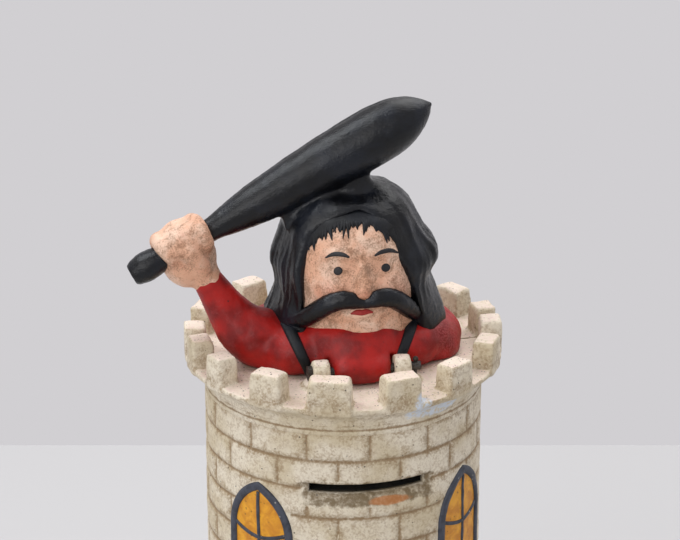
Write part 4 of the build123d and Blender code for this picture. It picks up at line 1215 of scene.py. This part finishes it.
def makeFist():
    g = giantSizes
    tilt = math.radians(g["clubTilt"])
    along = np.array([math.cos(tilt), 0, math.sin(tilt)])
    over, toFront = np.array([-math.sin(tilt), 0, math.cos(tilt)]), np.array([0, -1.0, 0])
    start = np.array(g["clubStart"])
    shapes = [ball((-42.6, -3.6, 191.6), (7.6, 6.0, 8.2)), ball((-44.6, -3.4, 195.6), (6.6, 6.2, 6.8)),
              tube(g["wristLine"], 24, 0.8)]
    for k, s in enumerate((10.0, 13.4, 16.8, 20.0)):
        rows = []
        for angle in (-60, -25, 10, 45, 80, 115, 145):
            t = math.radians(angle)
            reach = 4.7 + 0.35 * math.sin(2 * t) - 0.15 * abs(k - 1.5)
            lean = 0.9 * math.sin(t) + 0.35
            p = start + along * (s + lean) + reach * (math.cos(t) * over + math.sin(t) * toFront)
            thick = 2.55 - 0.012 * max(0, angle - 60) * 1.2 + (0.25 if abs(angle - 45) < 20 else 0)
            rows.append((*p, thick))
        shapes.append(tube(rows, 18, 0.7))
    thumb = [(-39.6, -7.4, 190.2, 2.9), (-41.2, -9.0, 193.2, 2.6), (-43.8, -9.8, 195.2, 2.3),
             (-46.4, -9.6, 196.0, 1.9)]
    shapes.append(tube(thumb, 18, 0.7))
    obj = melt(piece("giantFist", gather(shapes)), 0.46)
    relax(obj, 9)
    roughen(obj, 0.2, 3.5, 8.0)
    roughen(obj, 0.07, 1.1, 9.0)
    partingLine(obj, 0.2)
    markRelief(obj, 12, 1.3)
    addValue(obj, "rosy", 0.3 * np.clip(grain(readPoints(obj), 4.0, 4.0), 0, 1))
    return paintWith(obj, fleshPaint)


hairSizes = {
    # rows of height, the outer radius at the figure's left, back and right, and where the sheet begins
    # beside the face on its left and right, in degrees
    "form": [(165.0, 23.0, 23.2, 22.0, 54, 46), (169.0, 25.0, 23.2, 23.0, 54, 48),
             (171.7, 25.8, 23.0, 23.8, 53, 50),
             (174.5, 24.9, 22.6, 23.6, 52, 52), (177.9, 23.4, 22.0, 21.8, 50, 54),
             (181.0, 22.0, 21.6, 20.2, 48, 54),
             (184.4, 20.7, 21.3, 19.7, 46, 54), (187.0, 21.6, 21.2, 19.9, 43, 54),
             (189.4, 23.0, 21.0, 20.6, 40, 54),
             (192.0, 22.6, 20.7, 19.9, 36, 54), (195.0, 19.8, 20.3, 18.8, 32, 54),
             (197.5, 18.1, 19.6, 18.2, 29, 52),
             (200.0, 17.0, 18.8, 17.6, 27, 49), (202.4, 16.0, 17.6, 16.8, 24, 41),
             (204.4, 14.8, 16.0, 15.2, 15, 27),
             (206.0, 13.4, 14.0, 13.6, 0, 0), (208.0, 11.4, 11.6, 11.4, 0, 0), (209.8, 8.4, 8.4, 8.4, 0, 0),
             (210.9, 4.6, 4.6, 4.6, 0, 0)],
    "edgeRise": ((188.0, 197.0), (1.5, 0.5)), "voxel": 0.5, "locks": 44,
}


def hairColumn(column, height):
    rows = hairSizes["form"]
    return np.interp(height, [row[0] for row in rows], [row[column] for row in rows])


def skullRadius(height):
    return np.interp(height, (163.5, 167.0, 172.0, 178.0, 186.0, 193.0, 199.0, 204.0, 207.4, 209.0),
                     (15.0, 17.0, 18.2, 18.8, 18.7, 17.8, 16.2, 13.6, 9.6, 3.0))


def shellAt(turn, height, lift=0.0):
    # a place on the hair's outer form: turn 0 is the front, and it grows towards the figure's left hand
    x, y = giantSizes["skull"]
    degrees = math.degrees(turn) % 360
    left, back, right = (hairColumn(k, height) for k in (1, 2, 3))
    front = min(skullRadius(height) + np.interp(height, *hairSizes["edgeRise"]), left + 0.6)
    around = (front, front, left, back, right, front, front)
    radius = np.interp(degrees, (0, 30, 79, 180, 259, 330, 360), around) + lift
    return (x + radius * math.sin(turn), y - radius * math.cos(turn) * 0.97, height)


def hairSheet(columns=120):
    # the closed mass of hair, open round the face and closed over the crown
    x, y = giantSizes["skull"]
    outer, inner = [], []
    heights = np.arange(165.0, 210.9, 0.9)
    for height in heights:
        first, last = hairColumn(4, height), 360 - hairColumn(5, height)
        for k in range(columns + 1):
            share = k / columns
            turn = math.radians(first + (last - first) * share)
            rim = min(1.0, min(share, 1 - share) * columns / 2.5) if last - first < 359 else 1.0
            outer.append(shellAt(turn, height, -0.9 * (1 - rim) ** 2))
            deep = max(skullRadius(height) - 2.0, 1.0)
            inner.append((x + deep * math.sin(turn), y - deep * math.cos(turn), height - 1.0))
    return np.array(outer + inner), closedSheet(columns + 1, len(heights))


def hairStrands():
    # waving strands from the crown to the shoulders, finer beside the face
    generator = np.random.default_rng(5)
    lines, count = [], hairSizes["locks"]
    first, last = hairColumn(4, 180.0) + 3, 360 - hairColumn(5, 180.0) - 3
    for k in range(count):
        share = k / (count - 1)
        turn = first + (last - first) * share
        beside = min(share, 1 - share) < 0.16
        phase, swing = generator.uniform(0, 6.28), generator.uniform(2.0, 5.0) * (0.6 if beside else 1.0)
        tail = (171.2 if beside else 166.5) + 2.6 * generator.uniform(0, 1)
        thick = generator.uniform(0.95, 1.35) if beside else generator.uniform(1.4, 2.0)
        rows = []
        for step in np.linspace(0, 1, 15):
            height = 208.6 - (208.6 - tail) * step ** 1.1
            low, high = hairColumn(4, height), 360 - hairColumn(5, height)
            drift = turn if height > 203 else min(max(turn, low + 1.5), high - 1.5)
            wave = swing * math.sin(phase + 8.0 * step) * step ** 0.5
            radius = thick * math.sin(math.pi * min(1, 0.2 + 0.74 * step)) + 0.15
            lift = -0.55 + 0.25 * math.sin(phase + 11 * step)
            rows.append((*shellAt(math.radians(drift + wave), height, lift), radius))
        lines.append(rows)
    return lines


def makeHair():
    g = giantSizes
    tilt = math.radians(g["clubTilt"])
    way = np.array([math.cos(tilt), 0, math.sin(tilt)])
    start = np.array(g["clubStart"])
    clubRows = [(*(start + s * way), r) for s, r in g["club"]]
    webOutline = [(-17.0, 199.0), (-14.0, 201.6), (-9, 203.5), (0, 206.0), (5.4, 206.8), (6.8, 210.4),
                  (5.4, 213.2), (5.2, 216), (-18.5, 206.0)]
    web, crown = prism(webOutline, 1, -7.6, -0.6), ball((1.6, -4.2, 209.4), (5.4, 5.2, 4.2))
    body = piece("giantHairBody", gather([hairSheet(), web, crown, tube(clubRows, 40, 1.0)]))
    locks = strands("giantHairLocks", hairStrands(), hairEnamel, 12, 0.9)
    obj = melt(join("giantHair", [body, locks]), hairSizes["voxel"])
    relax(obj, 4)
    points = readPoints(obj)
    along = (points - start) @ way
    off = np.linalg.norm(points - start - along[:, None] * way, axis=1)
    # the butt of the club is pressed flat
    points += way * np.maximum(g["butt"] - along, 0)[:, None]
    # the neck between crown and club is filled smooth
    neck = np.clip((points[:, 2] - 200) / 3, 0, 1) * np.clip((off - 6.6) / 1.5, 0, 1)
    neck *= np.clip((12 - points[:, 0]) / 3, 0, 1)
    points += neck[:, None] * (spread(points, readEdges(obj), 30) - points)
    writePoints(obj, points)
    onClub = (off < 8.6) & ((along > 60) | (points[:, 2] > 211.5) | (points[:, 0] < -20))
    normals = readNormals(obj)
    points += normals * (np.where(onClub, 0.06, 0.09) * grain(points, 0.9, 7.0))[:, None]
    points += normals * (np.where(onClub, 0.12, 0.20) * grain(points, 4.5, 8.0))[:, None]
    writePoints(obj, points)
    partingLine(obj, 0.22)
    markRelief(obj, 12, 0.95)
    return paintWith(obj, hairEnamel)


def surfaceTree(obj):
    points, faces = shapeOf(obj)
    return BVHTree.FromPolygons([Vector(p) for p in points], faces)


def lay(tree, x, z):
    # the place on the surface under a brush held in front of it
    start = Vector((x, -20.0, z)) - frontal * 40
    place, normal, _, _ = tree.ray_cast(start, frontal)
    if place is None:
        return Vector((x, -18.0, z)), -frontal
    return place, normal if normal.dot(frontal) < 0 else -normal


def stroke(tree, rows, rise, step=0.5, sink=0.35):
    # one brush stroke or strap lying on a surface: rows are x, z and half width
    rows = np.array([(x, 0, z, w) for x, z, w in rows], float)
    line = spline(rows, step)
    run = np.gradient(line[:, [0, 2]], axis=0)
    run /= np.linalg.norm(run, axis=1)[:, None]
    section = [(-1.0, -1), (-1.0, 0.35), (-0.72, 0.85), (-0.3, 1.0), (0.3, 1.0), (0.72, 0.85), (1.0, 0.35),
               (1.0, -1)]
    points = []
    for (x, _, z, w), way in zip(line, run):
        for across, lift in section:
            place, normal = lay(tree, x + way[1] * across * w, z - way[0] * across * w)
            height = rise * lift * min(1.0, w / 0.5) if lift > 0 else -sink
            points.append(place + normal * height)
    sides, count = len(section), len(line)
    ends = [tuple(range(sides))[::-1], tuple(range((count - 1) * sides, count * sides))]
    return np.array(points), bands(count, sides) + ends


def dab(tree, x, z, wide, tall, rise, sink=0.3):
    # a round drop of paint
    points, sides = [], 20
    rings = [(1.0, -1), (1.0, 0.3), (0.8, 0.75), (0.45, 1.0)]
    for share, lift in rings:
        for k in range(sides):
            t = 2 * math.pi * k / sides
            place, normal = lay(tree, x + wide * share * math.cos(t), z + tall * share * math.sin(t))
            points.append(place + normal * (rise * lift if lift > 0 else -sink))
    for lift in (rise, -sink):
        place, normal = lay(tree, x, z)
        points.append(place + normal * lift)
    top, under = len(points) - 2, len(points) - 1
    faces = bands(len(rings), sides)
    for j in range(sides):
        n = (j + 1) % sides
        faces += [((len(rings) - 1) * sides + j, (len(rings) - 1) * sides + n, top), (n, j, under)]
    return np.array(points), faces


def makeFaceLines(head):
    f = faceSizes
    tree, middle = surfaceTree(head), f["middle"]
    marks = []
    for side in (-1, 1):
        eye = middle + side * f["eyeAside"]
        marks.append(dab(tree, eye, f["eye"], 1.2, 1.2, 0.3))
        marks.append(stroke(tree, [(eye + side * aside, z, w) for aside, z, w in f["brows"]], 0.25))
    lines = paintWith(piece("giantFaceLines", gather(marks)), facePaint)
    lips = piece("giantLips", stroke(tree, [(middle + aside, z, w) for aside, z, w in f["lips"]], 0.3))
    return [lines, paintWith(lips, lipPaint)]


def makeFringe(head):
    # ragged ends of the painted hair over the brow
    tree = surfaceTree(head)
    generator = np.random.default_rng(21)
    marks = []
    edge = [(-16.4, 193.4), (-14.6, 197.6), (-9.7, 201.8), (-3.3, 203.9), (3.8, 203.4), (9.1, 199.6),
            (12.2, 195.0)]
    line = spline([(x, 0, z, 0) for x, z in edge], 0.62)[:, [0, 2]]
    for x, z in line:
        drop = generator.uniform(0.3, 1.0) + 3.2 * generator.uniform(0, 1) ** 2.2
        lean = generator.uniform(-0.9, 0.9) + (0.14 * x if x > 4 else 0.0)
        wide = generator.uniform(0.45, 0.9)
        lock = [(x - lean * 0.4, z + 4.2, wide), (x, z + 1.2, wide), (x + lean, z - drop, 0.12)]
        marks.append(stroke(tree, lock, 0.5, 0.7))
    band = [(x, z + 2.6, 2.4) for x, z in edge[1:-1]]
    marks.append(stroke(tree, band, 0.55, 0.8))
    return paintWith(piece("giantFringe", gather(marks)), strapEnamel)


moustacheRows = [(-1.0, 18.0, 182.4, 1.5), (2.2, 18.4, 183.2, 2.0), (5.4, 17.9, 183.6, 2.5),
                 (8.8, 16.6, 182.4, 2.7),
                 (12.0, 14.4, 179.6, 2.7), (14.6, 11.8, 176.9, 2.6), (16.9, 8.4, 175.4, 2.4),
                 (18.4, 5.0, 175.0, 2.0)]


def makeMoustache():
    # one broad brushed mass that runs into the hair on both sides
    y, middle = giantSizes["skull"][1], faceSizes["middle"]
    wings = []
    for side in (-1, 1):
        rows = [(middle + side * aside, y - out, z, radius) for aside, out, z, radius in moustacheRows]
        wings.append(rows)
        for rise, share in ((1.7, 0.5), (0.4, 0.42), (-1.1, 0.5)):
            wings.append([(a, b - 0.5, c + rise, r * share) for a, b, c, r in rows[1:]])
    obj = melt(strands("giantMoustache", wings, hairEnamel, 16, 0.7), 0.42)
    relax(obj, 6)
    roughen(obj, 0.12, 1.3, 12.0)
    markRelief(obj, 10, 1.1)
    return paintWith(obj, hairEnamel)


def makeStraps(shirt):
    tree = surfaceTree(shirt)
    marks = []
    for rows in giantSizes["straps"].values():
        widths = np.linspace(1.75, 1.2, len(rows))
        marks.append(stroke(tree, [(x, z, w) for (x, z), w in zip(rows, widths)], 0.75, 0.7, 0.8))
    return paintWith(piece("giantStraps", gather(marks)), strapEnamel)


print("giant")
shirt = makeShirt()
head = makeHead()
fist = makeFist()
hair = makeHair()
moustache = makeMoustache()
giantPieces = [shirt, head, fist, hair, moustache, makeStraps(shirt), makeFringe(head), *makeFaceLines(head)]


print("hardware")
nodePaints = {
    "base_plate": blackIron, "coin_door": blackIron, "coin_shelf": shelfSteel, "coin_lever": leverIron,
    "pivot_pin": pinSteel,
    "pivot_split_pin": pinSteel, "lever_rivets": leverIron, "door_pivot_washer": shelfSteel,
}
for name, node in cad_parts.items():
    paintWith(node, nodePaints.get(name, screwSteel))


towerFronts = [wallFront, crownFront, *towerPieces]
towerBacks = [wallBack, pads, crownBack, *backPieces]
for obj in towerFronts + towerBacks:
    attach(obj, "tower")
for obj in giantPieces:
    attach(obj, "giant")
for obj in towerFronts:
    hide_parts("tower_front")
for obj in towerBacks:
    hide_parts("tower_back")
for obj in giantPieces:
    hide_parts("figure_front", "figure_back")


stageSettings = {"farEdge": 0.285, "reach": 3.0, "floor": tint(188, 187, 187), "wall": tint(209, 207, 210)}


def makeStage():
    s = stageSettings
    turn = math.radians(cameraSettings["azimuth"])
    ahead, right = Vector((-math.sin(turn), math.cos(turn), 0)), Vector((math.cos(turn), math.sin(turn), 0))
    corners = [-right * s["reach"] - ahead * s["reach"], right * s["reach"] - ahead * s["reach"],
               right * s["reach"] + ahead * s["farEdge"], -right * s["reach"] + ahead * s["farEdge"]]
    mesh = bpy.data.meshes.new("floor")
    mesh.from_pydata([tuple(c) for c in corners], [], [(0, 1, 2, 3)])
    floor = addObject("floor", mesh)
    paint = Paint("floorPaint")
    floor.data.materials.append(paint.finish(s["floor"], 0.6 + 0.1 * paint.lumps(60.0)))
    world = bpy.data.worlds.new("studio")
    world.use_nodes = True
    world.node_tree.nodes["Background"].inputs["Color"].default_value = s["wall"]
    world.node_tree.nodes["Background"].inputs["Strength"].default_value = 1.0
    bpy.context.scene.world = world


lightSettings = {  # place, target, size, power, colour
    "windowLight": ((0.35, 0.35, 0.95), (0, 0, 0.17), (0.9, 0.7), 5.3, (1.0, 1.0, 1.0)),
    "skyLight": ((-0.48, 0.14, 1.0), (0, 0, 0.2), (0.5, 0.5), 4.4, (0.92, 0.96, 1.0)),
    "frontLight": ((-0.75, -0.9, 0.7), (0, 0, 0.16), (0.9, 0.9), 6.0, (1.0, 1.0, 1.0)),
}


def softLight(name, place, target, size, power, colour):
    data = bpy.data.lights.new(name, "AREA")
    data.shape = "RECTANGLE"
    data.size, data.size_y = size
    data.energy = power
    data.color = colour
    lamp = addObject(name, data)
    lamp.location = place
    lamp.rotation_mode = "QUATERNION"
    lamp.rotation_quaternion = (Vector(target) - Vector(place)).to_track_quat("-Z", "Y")


def makeCamera():
    c = cameraSettings
    right = Vector((math.cos(lookTurn), math.sin(lookTurn), 0))
    camera = addObject("camera", bpy.data.cameras.new("camera"))
    camera.data.lens = c["lens"]
    camera.data.sensor_width = 36.0
    camera.location = (Vector((0, 0, c["height"])) + right * c["side"] - frontal * c["distance"]) * mm
    camera.rotation_mode = "QUATERNION"
    camera.rotation_quaternion = frontal.to_track_quat("-Z", "Y")
    bpy.context.scene.camera = camera


print("stage")
makeStage()
for name, settings in lightSettings.items():
    softLight(name, *settings)
makeCamera()
bpy.context.scene.view_settings.view_transform = "Standard"
